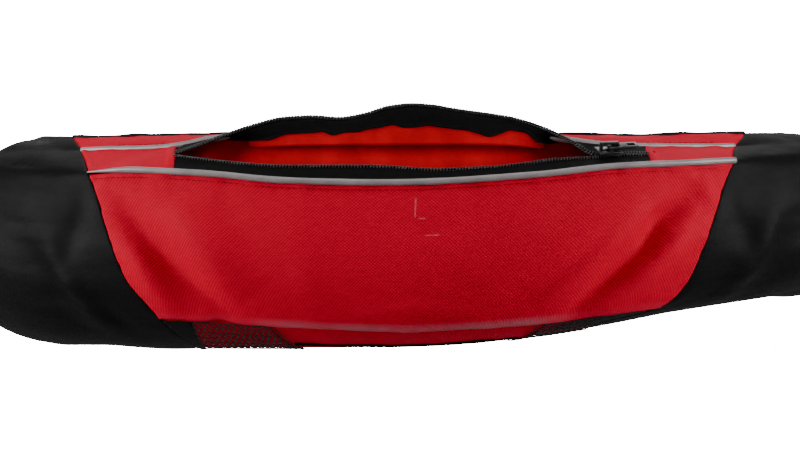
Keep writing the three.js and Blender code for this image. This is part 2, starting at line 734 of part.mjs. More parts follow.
add("zip_tape_front", strip(zipSteps, tapeEnds, [frontTeeth, lipLine], [coilTrim, pipingTrim], tapeCloth), black);

// Red cloth at both ends of the zip
const zipSlant = 3.5;
const ridgeAndLip = [ridgeLine, lipLine];
const seamOf = (side) => (j, section) => seamAlong(side, section, seamGap);
const pipingTrims = [pipingTrim, pipingTrim];
add("zip_end_left", strip(
  10, [seamOf(-1), () => zipEnds[0] - gap], ridgeAndLip, pipingTrims, lightCloth,
), red);
add("zip_end_right", strip(
  10, [(j) => zipEnds[1] + gap + j * zipSlant, seamOf(1)], ridgeAndLip, pipingTrims, lightCloth,
), red);

// Frame of the slider: x along the zip, y toward the wearer's back, z out of the zip
const sliderBack = backTeeth(sliderAlong);
const sliderFront = frontTeeth(sliderAlong);
const sliderMiddle = sliderBack.clone().add(sliderFront).multiplyScalar(0.5);
const panelRun = lipLine(sliderAlong).sub(ridgeLine(sliderAlong)).normalize();
const sectionVector = (run) => waistPoint(sliderAlong, run.x, run.y).sub(waistPoint(sliderAlong, 0, 0));
const sliderX = waistPoint(sliderAlong + 1, 0, 0).sub(waistPoint(sliderAlong - 1, 0, 0)).normalize();
const sliderY = sectionVector(panelRun).normalize().negate();
const sliderZ = sliderX.clone().cross(sliderY).normalize();
const sliderFrame = {
  position: waistPoint(sliderAlong, sliderMiddle.x, sliderMiddle.y),
  quaternion: new THREE.Quaternion().setFromRotationMatrix(new THREE.Matrix4().makeBasis(sliderX, sliderY, sliderZ)),
};

// Slider: two plates joined by the wedge between the rows of teeth, and a crown over the top one
const plateUnder = coilRadius + sliderClear;
function plate(height) {
  const half = sliderLength / 2;
  const outlinePoints = [[-half, -sliderNose / 2], [half, -sliderTail / 2], [half, sliderTail / 2], [-half, sliderNose / 2]];
  const shape = new THREE.Shape(outlinePoints.map(([x, y]) => new THREE.Vector2(x, y)));
  return solid(new THREE.ExtrudeGeometry(shape, { depth: plateThick, bevelEnabled: false }).translate(0, 0, height));
}
const boxSolid = (size, centre) => solid(new THREE.BoxGeometry(...size).translate(...centre));
const plateTop = plateUnder + plateThick;
const crownWindow = crownHeight - crownWall;
const wedgeLength = 1.5;
const slider = plate(plateUnder)
  .add(plate(-plateUnder - plateThick))
  .add(boxSolid([wedgeLength, wedgeWidth, 2 * plateTop - plateThick], [(wedgeLength - sliderLength) / 2, 0, 0]))
  .add(boxSolid([crownLength, crownWidth, crownHeight + plateThick / 2],
    [0, 0, plateTop + (crownHeight - plateThick / 2) / 2]))
  .subtract(boxSolid([crownLength - 2 * crownWall, 2 * crownWidth, crownWindow],
    [0, 0, plateTop + crownWindow / 2]));
add("zip_slider", geometryOf(slider), metal, sliderFrame);

// Pull: a tab whose end bar turns inside the crown
const barHalf = pullThick / 2;
const hingeHeight = plateTop + barHalf * Math.SQRT2 + gap;
const windowHalf = crownWidth / 2 + gap + 0.1;
const windowEnd = Math.hypot(crownLength / 2, crownHeight - (hingeHeight - plateTop)) + gap;
const span = (from, to, half, thick) => boxSolid([to - from, 2 * half, thick], [(from + to) / 2, 0, 0]);
const pull = span(-barHalf, pullLength, pullWidth / 2, pullThick)
  .subtract(span(barHalf, windowEnd, windowHalf, 2 * pullThick))
  .subtract(span(pullLength - crownWall - pullHole, pullLength - crownWall, windowHalf, 2 * pullThick));
const pullFrame = {
  quaternion: sliderFrame.quaternion,
  position: sliderFrame.position.clone().addScaledVector(sliderZ, hingeHeight),
};
add("zip_pull", geometryOf(pull), metal, pullFrame);

export default pack;
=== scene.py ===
# %% [markdown]
# An inflatable belt pack is a padded cloth bag that is worn round the waist. The bag's front is
# red, two padded black cuffs carry on round the hips, and webbing closes the loop behind. The
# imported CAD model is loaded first, because it gives every piece its place and its size.
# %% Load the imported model
import math
import bpy
import numpy as np
from mathutils import Matrix, Vector
from mathutils.kdtree import KDTree


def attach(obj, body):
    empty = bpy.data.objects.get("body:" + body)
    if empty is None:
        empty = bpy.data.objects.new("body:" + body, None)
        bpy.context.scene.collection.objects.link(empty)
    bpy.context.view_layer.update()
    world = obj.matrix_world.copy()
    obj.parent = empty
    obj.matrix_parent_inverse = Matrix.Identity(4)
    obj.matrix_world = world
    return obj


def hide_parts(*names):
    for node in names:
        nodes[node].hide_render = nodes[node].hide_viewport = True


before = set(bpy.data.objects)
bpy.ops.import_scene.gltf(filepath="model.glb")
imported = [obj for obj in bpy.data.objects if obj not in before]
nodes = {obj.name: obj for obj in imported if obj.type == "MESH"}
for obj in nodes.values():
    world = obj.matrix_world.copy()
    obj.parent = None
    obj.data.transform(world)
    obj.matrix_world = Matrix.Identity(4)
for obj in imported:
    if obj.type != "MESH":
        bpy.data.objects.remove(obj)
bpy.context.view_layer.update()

print("CAD nodes:", len(nodes))

# %% [markdown]
# The photograph is taken from straight in front, a little above, with a long lens that shows the
# bag's middle only. The camera's place and its small roll were worked out from the ends of the
# seams, so the picture and the photograph can be laid over each other.
# %% Camera
MM = 0.001
eye = Vector((-6.06, -1164.61, 150.94)) * MM
aim = Vector((-6.06, -174.35, 11.77)) * MM
roll = math.radians(1.3)
forward = (aim - eye).normalized()
level_right = Vector((1, 0, 0))
level_up = level_right.cross(forward).normalized()
right = level_right * math.cos(roll) - level_up * math.sin(roll)
upward = level_right * math.sin(roll) + level_up * math.cos(roll)
camera = bpy.data.objects.new("camera", bpy.data.cameras.new("camera"))
bpy.context.scene.collection.objects.link(camera)
camera.data.lens = 99.56
camera.matrix_world = Matrix((right, upward, -forward)).transposed().to_4x4()
camera.location = eye
bpy.context.scene.camera = camera

# %% [markdown]
# Colours are written as sRGB hex values, as a maker's colour card gives them, and one function
# turns them to the linear values that the shaders work in. A second small function adds any node
# with its settings, its fixed values and its links, so a material reads as a short list.
# %% Colours and nodes
def colour(code):
    """sRGB hex to linear red, green, blue and alpha."""
    parts = [int(code[k:k + 2], 16) / 255 for k in (1, 3, 5)]
    linear = [c / 12.92 if c <= 0.04045 else ((c + 0.055) / 1.055) ** 2.4 for c in parts]
    return (*linear, 1.0)


def add(tree, kind, inputs=None, **settings):
    """A node: settings are its own properties, inputs are values or other nodes' sockets."""
    made = tree.nodes.new("ShaderNode" + kind)
    for name, value in settings.items():
        setattr(made, name, value)
    for name, value in (inputs or {}).items():
        if isinstance(value, bpy.types.NodeSocket):
            tree.links.new(value, made.inputs[name])
        else:
            made.inputs[name].default_value = value
    return made


def begin(name, **fixed):
    """A new material, its node tree and its shader with fixed values."""
    made = bpy.data.materials.new(name)
    made.use_nodes = True
    shader = made.node_tree.nodes["Principled BSDF"]
    for socket, value in fixed.items():
        shader.inputs[socket.replace("_", " ")].default_value = value
    return made, made.node_tree, shader


# %% [markdown]
# A product like this is photographed on white paper with two soft boxes at the sides and one
# above, so the bag's ends and its top strip are bright and its middle is darker. The paper is
# far below and behind, because the bag is worn and stands on nothing. It shows as plain white.
# %% Studio
def lamp(name, place, size, power, target=(0, -0.12, 0)):
    """A square area light that faces the bag."""
    light = bpy.data.lights.new(name, "AREA")
    light.size = size
    light.energy = power
    made = bpy.data.objects.new(name, light)
    bpy.context.scene.collection.objects.link(made)
    made.location = place
    made.rotation_euler = (Vector(target) - Vector(place)).to_track_quat("-Z", "Y").to_euler()
    return made


lamp("soft_box_left", (-1.3, -0.4, 0.36), 0.55, 19)
lamp("soft_box_right", (1.3, -0.42, 0.36), 0.55, 17)
lamp("soft_box_top", (0, -0.1, 1.3), 0.9, 5.5)
lamp("soft_box_back", (0, 1.3, 0.7), 1.2, 7)
lamp("fill_front", (0, -2.2, 0.1), 1.4, 5)

world = bpy.data.worlds.new("studio")
bpy.context.scene.world = world
world.use_nodes = True
sky = world.node_tree
seen = add(sky, "LightPath")
strength = add(sky, "Mix", {0: seen.outputs["Is Camera Ray"], 2: 0.06, 3: 30.0}, data_type="FLOAT")
sky.links.new(strength.outputs[0], sky.nodes["Background"].inputs["Strength"])
sky.nodes["Background"].inputs["Color"].default_value = colour("#ffffff")

bpy.ops.object.select_all(action="DESELECT")
bpy.ops.mesh.primitive_plane_add(size=1, location=(0, 1.0, -0.45))
paper = bpy.context.object
paper.name = "paper_floor"
paper.scale = (9, 8, 1)
bpy.ops.object.transform_apply(location=True, scale=True)
paper_white, tree, shader = begin("white_paper", Roughness=0.9)
shader.inputs["Base Color"].default_value = colour("#9a9a9a")
seen = add(tree, "LightPath")
glow = add(tree, "Emission", {"Color": colour("#ffffff"), "Strength": 30.0})
blend = add(tree, "MixShader", {0: seen.outputs["Is Camera Ray"], 1: shader.outputs[0], 2: glow.outputs[0]})
tree.links.new(blend.outputs[0], tree.nodes["Material Output"].inputs["Surface"])
paper.data.materials.append(paper_white)

# %% [markdown]
# The bag is drawn as a tailor would measure it: along the waist, outward from it, and up. The
# waist is a front arc, two side arcs and a back arc. These are the same values as in the CAD
# source, so each cloth lands on its solid. Lengths here are in millimetres.
# %% Waist line
waist_width, waist_depth, side_radius = 385, 252, 85
front_half_angle = math.radians(30)
side_across = waist_width / 2 - side_radius
front_radius = side_radius + side_across / math.sin(front_half_angle)
front_centre = (0.0, front_radius - waist_depth / 2)
side_reach = front_radius - side_radius
side_centre = (side_reach * math.sin(front_half_angle),
               front_centre[1] - side_reach * math.cos(front_half_angle))
back_lag = side_centre[1] - waist_depth / 2
back_radius = (side_radius ** 2 - side_across ** 2 - back_lag ** 2) / (2 * (back_lag + side_radius))
back_centre = (0.0, waist_depth / 2 - back_radius)
back_half_angle = math.asin(side_across / (back_radius - side_radius))
front_span = front_radius * front_half_angle
side_span = side_radius * (math.pi - front_half_angle - back_half_angle)
half_waist = front_span + side_span + back_radius * back_half_angle
print("waist line, mm:", round(2 * half_waist, 1))


def waist(along, out, up):
    """Place in metres of a length along the waist, a distance out of it and a height."""
    along, out, up = np.broadcast_arrays(*(np.asarray(v, float) for v in (along, out, up)))
    run = np.abs(along)
    on_side = run > front_span
    on_back = run > front_span + side_span
    pick = lambda front, side, back: np.where(on_back, back, np.where(on_side, side, front))
    radius = pick(front_radius, side_radius, back_radius) + out
    turn = pick(run / front_radius, front_half_angle + (run - front_span) / side_radius,
                math.pi - (half_waist - run) / back_radius)
    x = pick(front_centre[0], side_centre[0], back_centre[0]) + radius * np.sin(turn)
    y = pick(front_centre[1], side_centre[1], back_centre[1]) - radius * np.cos(turn)
    return np.stack([np.where(along < 0, -x, x), y, up], -1) * MM


def on_waist(along, point):
    """Place in metres of points given as out and up, side by side."""
    return waist(along, point[..., 0], point[..., 1])


def length_along(path):
    """Length from a path's start to each of its points."""
    return np.concatenate([[0], np.cumsum(np.linalg.norm(np.diff(path, axis=0), axis=-1))])


# %% [markdown]
# Each line of the bag is a short table, read with a smooth curve that never swings past its
# rows. The section runs over five corner lines: the back's top edge, the ridge with the upper
# piping, the lip of the front, the fold under the front, and the foot.
# %% Lines of the bag
class Smooth:
    """A cubic through a table's column that never swings past its rows."""

    def __init__(self, places, values):
        self.places = np.array(places, float)
        self.values = np.array(values, float)
        slope = np.diff(self.values) / np.diff(self.places)
        self.bend = np.zeros(len(self.places))
        for k in range(1, len(slope)):
            before, after = slope[k - 1], slope[k]
            self.bend[k] = 0 if before * after <= 0 else 2 * before * after / (before + after)

    def __call__(self, at):
        p, v, b = self.places, self.values, self.bend
        at = np.clip(at, p[0], p[-1])
        k = np.clip(np.searchsorted(p, at, side="right") - 1, 0, len(p) - 2)
        span = p[k + 1] - p[k]
        t = (at - p[k]) / span
        ends = v[k] * (2 * t ** 3 - 3 * t ** 2 + 1) + v[k + 1] * (3 * t ** 2 - 2 * t ** 3)
        return ends + span * (b[k] * (t ** 3 - 2 * t ** 2 + t) + b[k + 1] * (t ** 3 - t ** 2))


def table(rows):
    """One smooth curve for each column after the first."""
    columns = list(zip(*rows))
    return [Smooth(columns[0], column) for column in columns[1:]]


pack_length, pack_height, pack_thick = 570, 98, 54
half_length, half_height = pack_length / 2, pack_height / 2
front_bulge, lower_bulge, strip_bulge = 6.5, 2.5, 0.7
foot_corner, seam_reach, fold_tuck, gap, seam_gap = 9, 167, 2.5, 0.35, 0.5
binding_radius = 0.9

# along, top, foot, lip, fold, thick
top_line, foot_line, lip_line, fold_line, thick_line = table([
    (-1.000, 0.430, -0.510, 0.250, -0.310, 0.22), (-0.920, 0.670, -0.860, 0.440, -0.500, 0.50),
    (-0.825, 0.800, -1.080, 0.560, -0.620, 0.75), (-0.720, 0.930, -1.200, 0.630, -0.680, 0.90),
    (-0.614, 0.945, -1.170, 0.670, -0.680, 0.97), (-0.509, 0.972, -1.100, 0.705, -0.665, 1.00),
    (-0.404, 1.000, -1.065, 0.755, -0.643, 1.00), (-0.298, 1.010, -1.020, 0.735, -0.653, 1.00),
    (-0.175, 1.010, -1.005, 0.670, -0.694, 1.00), (0.000, 0.995, -0.995, 0.640, -0.745, 1.00),
    (0.175, 0.965, -0.932, 0.673, -0.715, 1.00), (0.298, 0.930, -0.865, 0.715, -0.660, 0.99),
    (0.404, 0.890, -0.806, 0.700, -0.643, 0.97), (0.509, 0.870, -0.815, 0.680, -0.590, 0.93),
    (0.614, 0.830, -0.825, 0.640, -0.560, 0.90), (0.720, 0.790, -0.950, 0.590, -0.540, 0.84),
    (0.825, 0.725, -0.870, 0.500, -0.490, 0.72), (0.920, 0.610, -0.700, 0.390, -0.410, 0.50),
    (1.000, 0.430, -0.470, 0.250, -0.290, 0.22),
])
# along, out, up
ridge_out, ridge_up = table([
    (-1.000, 0.315, 0.370), (-0.720, 0.315, 0.775), (-0.509, 0.315, 0.875), (-0.404, 0.315, 0.908),
    (-0.361, 0.306, 0.945), (-0.316, 0.287, 1.000), (-0.246, 0.250, 1.033), (-0.158, 0.231, 1.041),
    (0.000, 0.222, 1.031), (0.070, 0.222, 1.020), (0.158, 0.241, 0.992), (0.211, 0.269, 0.955),
    (0.246, 0.287, 0.922), (0.281, 0.306, 0.884), (0.333, 0.315, 0.843), (0.404, 0.315, 0.810),
    (0.509, 0.315, 0.765), (0.720, 0.315, 0.690), (1.000, 0.315, 0.370),
])
# up, left, right
seam_left, seam_right = table([
    (-1.060, 0.612, 0.450), (-0.800, 0.675, 0.500), (-0.670, 0.708, 0.665), (-0.600, 0.720, 0.705),
    (-0.470, 0.755, 0.748), (-0.245, 0.803, 0.785), (0.080, 0.840, 0.826), (0.700, 0.907, 0.915),
    (0.770, 0.926, 0.950), (0.830, 0.944, 0.988), (0.865, 0.957, 1.008), (0.950, 1.000, 1.035),
    (1.060, 1.030, 1.060),
])
# along, up, reach, width, slant in degrees, depth: the broad soft folds, as in the CAD source
broad_folds = [
    (-0.345, 0.06, 0.62, 0.13, -47, -0.050), (-0.375, -0.24, 0.50, 0.12, -50, 0.042),
    (-0.285, 0.20, 0.60, 0.26, -62, 0.030), (0.300, 0.00, 0.90, 0.11, 40, -0.055),
    (0.255, 0.16, 0.80, 0.28, 42, 0.036), (0.345, -0.22, 0.60, 0.13, 36, 0.036),
    (-0.560, -0.22, 0.55, 0.20, -60, -0.045), (-0.500, -0.40, 0.50, 0.14, -58, 0.045),
    (-0.680, 0.25, 0.70, 0.16, -8, -0.030), (0.500, -0.30, 0.55, 0.14, 62, 0.045),
    (0.580, -0.10, 0.60, 0.20, 66, -0.045), (0.700, 0.20, 0.70, 0.16, 10, -0.030),
]


# %% Section of the bag
def pair(out, up):
    """Distance out of the waist and height, side by side."""
    return np.stack(np.broadcast_arrays(np.asarray(out, float), np.asarray(up, float)), -1)


def height_of(line, along):
    return line(along / half_length) * half_height


def thickness_at(along):
    return thick_line(along / half_length)


def back_edge(along):
    return pair(2 * binding_radius + gap, height_of(top_line, along))


def ridge(along):
    thick = pack_thick * thickness_at(along)
    return pair(ridge_out(along / half_length) * thick, height_of(ridge_up, along))


def lip(along):
    return pair(0.815 * pack_thick * thickness_at(along), height_of(lip_line, along))


def fold(along):
    return pair(0.907 * pack_thick * thickness_at(along), height_of(fold_line, along))


def foot(along):
    return pair(0.407 * pack_thick * thickness_at(along), height_of(foot_line, along))


def fold_depth(along, up):
    depth = np.zeros(np.broadcast(along, up).shape)
    for at, level, reach, width, slant, deep in broad_folds:
        da, du = along - at * half_length, up - level * half_height
        c, s = math.cos(math.radians(slant)), math.sin(math.radians(slant))
        lengthwise = (da * c + du * s) / (reach * half_height)
        across = (du * c - da * s) / (width * half_height)
        depth += deep * pack_thick * np.exp(-lengthwise ** 2 - across ** 2)
    return depth


def unit(run):
    return run / np.maximum(np.linalg.norm(run, axis=-1, keepdims=True), 1e-9)


def shell(along, station):
    """Outside of the bag. Station 0 is the back's top edge, 1 the ridge, 2 the lip, 3 the fold,
    4 the foot, 5 the end of the rounded foot corner and 6 the top edge again."""
    along, station = np.broadcast_arrays(np.asarray(along, float), np.asarray(station, float))
    part = np.minimum(np.floor(station), 5).astype(int)
    share = station - part
    lines = np.stack([line(along) for line in (back_edge, ridge, lip, fold, foot)])
    pick = lambda k: np.take_along_axis(lines, np.clip(k, 0, 4)[None, ..., None], 0)[0]
    start, end = pick(part), pick(part + 1)
    start = start + np.where((part == 3)[..., None], np.array([-fold_tuck, -gap]), 0)
    run = end - start
    away = unit(np.stack([-run[..., 1], run[..., 0]], -1))
    swell = np.where(part == 2, share ** 1.25, share)
    bulge = np.choose(np.clip(part, 0, 3), [strip_bulge, strip_bulge, front_bulge, lower_bulge])
    point = start + run * share[..., None] + away * (bulge * 4 * swell * (1 - swell))[..., None]
    soft = fold_depth(along, point[..., 1]) * np.sin(np.pi * share) * thickness_at(along)
    point[..., 0] += np.where(part == 2, soft, 0)
    turn = share * np.pi / 2
    base = lines[4]
    corner = pair(base[..., 0] * (1 - np.sin(turn)), base[..., 1] + foot_corner * (1 - np.cos(turn)))
    rear_from, rear_to = base[..., 1] + foot_corner, lines[0][..., 1] - binding_radius - gap
    rear = pair(0, rear_from + (rear_to - rear_from) * share)
    point = np.where((part == 4)[..., None], corner, point)
    return np.where((part == 5)[..., None], rear, point)


def shell_normal(along, station):
    part = np.minimum(np.floor(station), 5)
    before = shell(along, np.maximum(part, station - 0.02))
    after = shell(along, np.minimum(part + 1 - 1e-6, station + 0.02))
    run = after - before
    return unit(np.stack([-run[..., 1], run[..., 0]], -1))


def raised(along, station, height):
    """The shell's point, raised outward by a height."""
    return shell(along, station) + shell_normal(along, station) * np.asarray(height)[..., None]


def seam_along(side, section, clearance, count=1):
    """Length along the waist where each row of a section meets the slanted seam."""
    curve = seam_left if side < 0 else seam_right
    surface = lambda up: curve(up / half_height) * seam_reach
    low, high = np.zeros(count), np.full(count, half_length * 0.9)
    for _ in range(40):
        middle = (low + high) / 2
        point = section(side * middle)
        slope = surface(point[..., 1] + 0.5) - surface(point[..., 1] - 0.5)
        reach = surface(point[..., 1]) - clearance * np.hypot(1, slope)
        inside = np.abs(on_waist(middle, point)[..., 0]) / MM < reach
        low, high = np.where(inside, middle, low), np.where(inside, high, middle)
    return side * low

# %% [markdown]
# Most pieces here are cloth cut to a shape and sewn, so each is a fine grid of points laid on the
# bag's section, and a Solidify modifier gives it its thickness. The grid also gives each cloth
# its own UV map in metres, which the weave follows as threads follow the cut.
# %% Cloth from a grid
def steps(start, end, count):
    return np.linspace(start, end, count + 1)


def new_piece(name, points, faces, uv=None):
    """A mesh object at the origin with smooth faces and an optional UV map in metres."""
    mesh = bpy.data.meshes.new(name)
    mesh.from_pydata([tuple(p) for p in points], [], faces)
    made = bpy.data.objects.new(name, mesh)
    bpy.context.scene.collection.objects.link(made)
    if uv is not None:
        layer = mesh.uv_layers.new(name="cloth")
        corner_points = np.empty(len(mesh.loops), int)
        mesh.loops.foreach_get("vertex_index", corner_points)
        layer.data.foreach_set("uv", np.asarray(uv)[corner_points].ravel())
    mesh.shade_smooth()
    return made


def flat_map(grid):
    """UV in metres from the lengths along the middle row and column of a grid of points."""
    across = np.linalg.norm(np.diff(grid, axis=0), axis=-1).mean(1)
    down = np.linalg.norm(np.diff(grid, axis=1), axis=-1).mean(0)
    u = np.concatenate([[0], np.cumsum(across)])
    v = np.concatenate([[0], np.cumsum(down)])
    return np.stack(np.meshgrid(u, -v, indexing="ij"), -1)


def grid_faces(columns, rows):
    """Quads of a grid whose columns run to the right and whose rows run down."""
    at = lambda i, j: i * (rows + 1) + j
    return [(at(i, j), at(i, j + 1), at(i + 1, j + 1), at(i + 1, j))
            for i in range(columns) for j in range(rows)]


def select_only(first, *others):
    bpy.ops.object.select_all(action="DESELECT")
    for piece in (first, *others):
        piece.select_set(True)
    bpy.context.view_layer.objects.active = first


def joined(first, *others):
    select_only(first, *others)
    bpy.ops.object.join()
    return first


def apply_modifiers(made):
    select_only(made)
    for modifier in list(made.modifiers):
        bpy.ops.object.modifier_apply(modifier=modifier.name)


def cloth(name, grid, thick):
    """A sheet of cloth on a grid of points, with its thickness inside and a UV map from its grid."""
    columns, rows = grid.shape[0] - 1, grid.shape[1] - 1
    uv = flat_map(grid)
    made = new_piece(name, grid.reshape(-1, 3), grid_faces(columns, rows), uv.reshape(-1, 2))
    wall = made.modifiers.new("thickness", "SOLIDIFY")
    wall.thickness = thick * MM
    wall.offset = -1
    apply_modifiers(made)
    made.data.shade_smooth()
    return made


def dress(made, material, slot, *replaced, body="pack"):
    """Gives a piece its material and the body it rides on, and hides the nodes it stands for; slot is not
    used.
    """
    made.data.materials.clear()
    made.data.materials.append(material)
    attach(made, body)
    if replaced:
        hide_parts(*replaced)
    return made


def ripple(at, seed):
    """A gentle wave from -1 to 1 that doesn't repeat, for puckers in sewn cloth."""
    slow, fast = np.sin(1.618 * at + 2.9 * seed), np.sin(2.71 * at + 0.7 * seed)
    return (np.sin(at + 1.7 * seed) + 0.6 * slow + 0.4 * fast) / 2


def ease(x, start, end):
    t = np.clip((x - start) / (end - start), 0, 1)
    return t * t * (3 - 2 * t)

# %% [markdown]
# Every finish starts from what the real one is. Cloth gets its pattern from its own UV map in
# metres, so the threads follow the cut. Real threads of 0.3 mm would be finer than a pixel, so
# each weave is drawn at the coarser pitch of its dots, as the eye sees it from a metre away.
# %% Helpers for patterns
def cloth_mm(tree):
    """The piece's own UV map in millimetres, as separate u and v."""
    uv = add(tree, "UVMap", uv_map="cloth")
    scaled = add(tree, "VectorMath", {0: uv.outputs[0], 1: (1000, 1000, 1000)}, operation="MULTIPLY")
    parts = add(tree, "SeparateXYZ", {0: scaled.outputs[0]})
    return parts.outputs[0], parts.outputs[1]


def count_up(tree, operation, a, b=0.0):
    return add(tree, "Math", {0: a, 1: b}, operation=operation).outputs[0]


def wave(tree, at, pitch, phase=0.0):
    """A cosine from -1 to 1 with a pitch in the unit of what it reads."""
    turned = add(tree, "Math", {0: at, 1: 2 * math.pi / pitch, 2: phase}, operation="MULTIPLY_ADD")
    return count_up(tree, "COSINE", turned.outputs[0])


def noise(tree, scale, detail=3.0, stretch=(1, 1, 1), seed=0.0):
    """Noise over the object, with the size of its features set by scale, in features a metre."""
    place = add(tree, "TexCoord").outputs["Object"]
    moved = add(tree, "Mapping", {"Vector": place, "Scale": stretch, "Location": (seed, seed, seed)})
    cloud = add(tree, "TexNoise", {"Vector": moved.outputs[0], "Scale": scale, "Detail": detail})
    return cloud.outputs["Fac"]


def between(tree, share, low, high):
    """A colour between two, by a share from 0 to 1."""
    mixed = add(tree, "Mix", {0: share, 6: colour(low), 7: colour(high)}, data_type="RGBA")
    return mixed.outputs[2]


def paint(tree, shader, share, low, high):
    tree.links.new(between(tree, share, low, high), shader.inputs["Base Color"])


def share_of(tree, value, low=-1.0, high=1.0):
    """A value's share of the way from low to high, by default those of a wave."""
    return add(tree, "MapRange", {0: value, 1: low, 2: high}).outputs[0]


def blend_math(tree, value, factor, rest):
    """A value times a factor, plus the rest."""
    return add(tree, "Math", {0: value, 1: factor, 2: rest}, operation="MULTIPLY_ADD").outputs[0]


def relief(tree, shader, height, depth_mm, strength=1.0, below=None):
    """A bump of a height from 0 to 1, with its real depth in millimetres."""
    inputs = {"Height": height, "Distance": depth_mm * MM, "Strength": strength}
    if below is not None:
        inputs["Normal"] = below
    bump = add(tree, "Bump", inputs)
    tree.links.new(bump.outputs[0], shader.inputs["Normal"])
    return bump.outputs[0]


def roughness(tree, shader, share, low, high):
    spread = add(tree, "MapRange", {0: share, 3: low, 4: high})
    tree.links.new(spread.outputs[0], shader.inputs["Roughness"])


# %% Red polyester
# Oxford weave of textured polyester with a thin coating: the eye sees small dots in diagonal
# rows, a soft satin light on folds, and duller patches where it has rubbed. Along the rolled edge
# a pale band of painted sheen stands in for the floor's reflection, placed by its distance down the cloth.
def red_oxford(name, sheen_from=None, sheen_to=None, sheen_middle=0, sheen_half=1, marks=()):
    made, tree, shader = begin(name, IOR=1.5, Specular_IOR_Level=0.05)
    u, v = cloth_mm(tree)
    dots = count_up(tree, "MULTIPLY", wave(tree, u, 1.6), wave(tree, v, 1.6))
    dots01 = share_of(tree, dots)
    slub = noise(tree, 260, 2, (1, 1, 5))
    worn = noise(tree, 17, 4, seed=2.0)
    uneven = count_up(tree, "MULTIPLY", dots01, 0.5)
    uneven = blend_math(tree, slub, 0.28, uneven)
    uneven = blend_math(tree, worn, 0.24, uneven)
    shade = between(tree, uneven, "#96001f", "#fb0036")
    # Painted sheen: a pale, patchy band along the rolled lower edge, fading away from the middle, stands in
    # for the floor's reflection.
    if sheen_from is not None:
        down = count_up(tree, "MULTIPLY", v, -1.0)
        edge = add(tree, "MapRange", {0: down, 1: sheen_from, 2: sheen_to}, interpolation_type="SMOOTHSTEP")
        cloud = noise(tree, 30, 3, (1, 1, 3), 9.0)
        patchy = add(tree, "MapRange", {0: cloud, 1: 0.35, 2: 0.7, 3: 0.35, 4: 1.0})
        share = count_up(tree, "MULTIPLY", edge.outputs[0], patchy.outputs[0])
        off = count_up(tree, "ABSOLUTE", count_up(tree, "SUBTRACT", u, sheen_middle))
        near = add(tree, "MapRange", {0: off, 1: sheen_half, 2: sheen_half + 30, 3: 1.0, 4: 0.15})
        share = count_up(tree, "MULTIPLY", share, near.outputs[0])
        pale = add(tree, "Mix", {0: share, 6: shade, 7: colour("#b5606e")}, data_type="RGBA")
        shade = pale.outputs[2]
    for at_u, at_v, half_u, half_v in marks:
        beside = count_up(tree, "DIVIDE", count_up(tree, "SUBTRACT", u, at_u), half_u)
        above = count_up(tree, "DIVIDE", count_up(tree, "SUBTRACT", v, at_v), half_v)
        beside, above = [count_up(tree, "ABSOLUTE", off) for off in (beside, above)]
        far = count_up(tree, "MAXIMUM", beside, above)
        scuff = add(tree, "MapRange", {0: far, 1: 0.7, 2: 1.2, 3: 0.5, 4: 0.0}).outputs[0]
        broken = count_up(tree, "MULTIPLY", scuff, noise(tree, 700, 2, seed=11.0))
        shade = add(tree, "Mix", {0: broken, 6: shade, 7: colour("#e89aa4")}, data_type="RGBA").outputs[2]
    tree.links.new(shade, shader.inputs["Base Color"])
    roughness(tree, shader, worn, 0.5, 0.68)
    relief(tree, shader, dots01, 0.13, 0.8, relief(tree, shader, slub, 0.06, 0.4))
    return made


red_polyester = red_oxford("red_polyester_oxford")

# %% Red lining
# Thin nylon taffeta: smoother and a purer red than the front, with fine crosswise puckers.
red_lining, tree, shader = begin("red_nylon_taffeta", IOR=1.53, Specular_IOR_Level=0.08)
u, v = cloth_mm(tree)
rows_of = share_of(tree, wave(tree, v, 0.9))
pucker = noise(tree, 60, 3, (1.6, 1, 0.5), 5.0)
paint(tree, shader, pucker, "#a80010", "#f0001c")
roughness(tree, shader, pucker, 0.42, 0.6)
relief(tree, shader, rows_of, 0.05, 0.5, relief(tree, shader, pucker, 1.1, 0.6))

# %% Black polyester
# The same kind of cloth in black, lighter and softer: nearly black where it faces the eye, with a
# grey satin light along its folds and a fine grain.
black_polyester, tree, shader = begin("black_polyester_twill", IOR=1.5, Specular_IOR_Level=0.11)
u, v = cloth_mm(tree)
twill = count_up(tree, "MULTIPLY", wave(tree, u, 1.15), wave(tree, v, 1.15))
twill01 = share_of(tree, twill)
crinkle = noise(tree, 38, 3, (1, 1, 2.6), 3.0)
dust = noise(tree, 420, 2, seed=7.0)
shade = blend_math(tree, dust, 0.4, count_up(tree, "MULTIPLY", twill01, 0.5))
paint(tree, shader, shade, "#020202", "#0c0c0c")
roughness(tree, shader, crinkle, 0.52, 0.68)
relief(tree, shader, twill01, 0.14, 0.5, relief(tree, shader, crinkle, 1.3, 0.5))

# %% Black spacer mesh
# Knitted spacer mesh lies against the wearer: rows of small round holes, each with a soft rim and a
# floor darkened by painted shade, in a matt black that is greyer than the cuffs because it is fuzzy.
spacer_mesh, tree, shader = begin("black_spacer_mesh", IOR=1.5, Specular_IOR_Level=0.2)
u, v = cloth_mm(tree)
rows_across = wave(tree, count_up(tree, "ADD", u, count_up(tree, "MULTIPLY", v, 0.577)), 3.4)
rows_back = wave(tree, count_up(tree, "SUBTRACT", u, count_up(tree, "MULTIPLY", v, 0.577)), 3.4)
rows_down = wave(tree, count_up(tree, "MULTIPLY", v, 1.155), 3.4)
holes = count_up(tree, "ADD", count_up(tree, "ADD", rows_across, rows_back), rows_down)
hole01 = share_of(tree, holes, 0.6, 2.2)
fuzz = noise(tree, 500, 2)
ground = count_up(tree, "MULTIPLY", fuzz, 0.6)
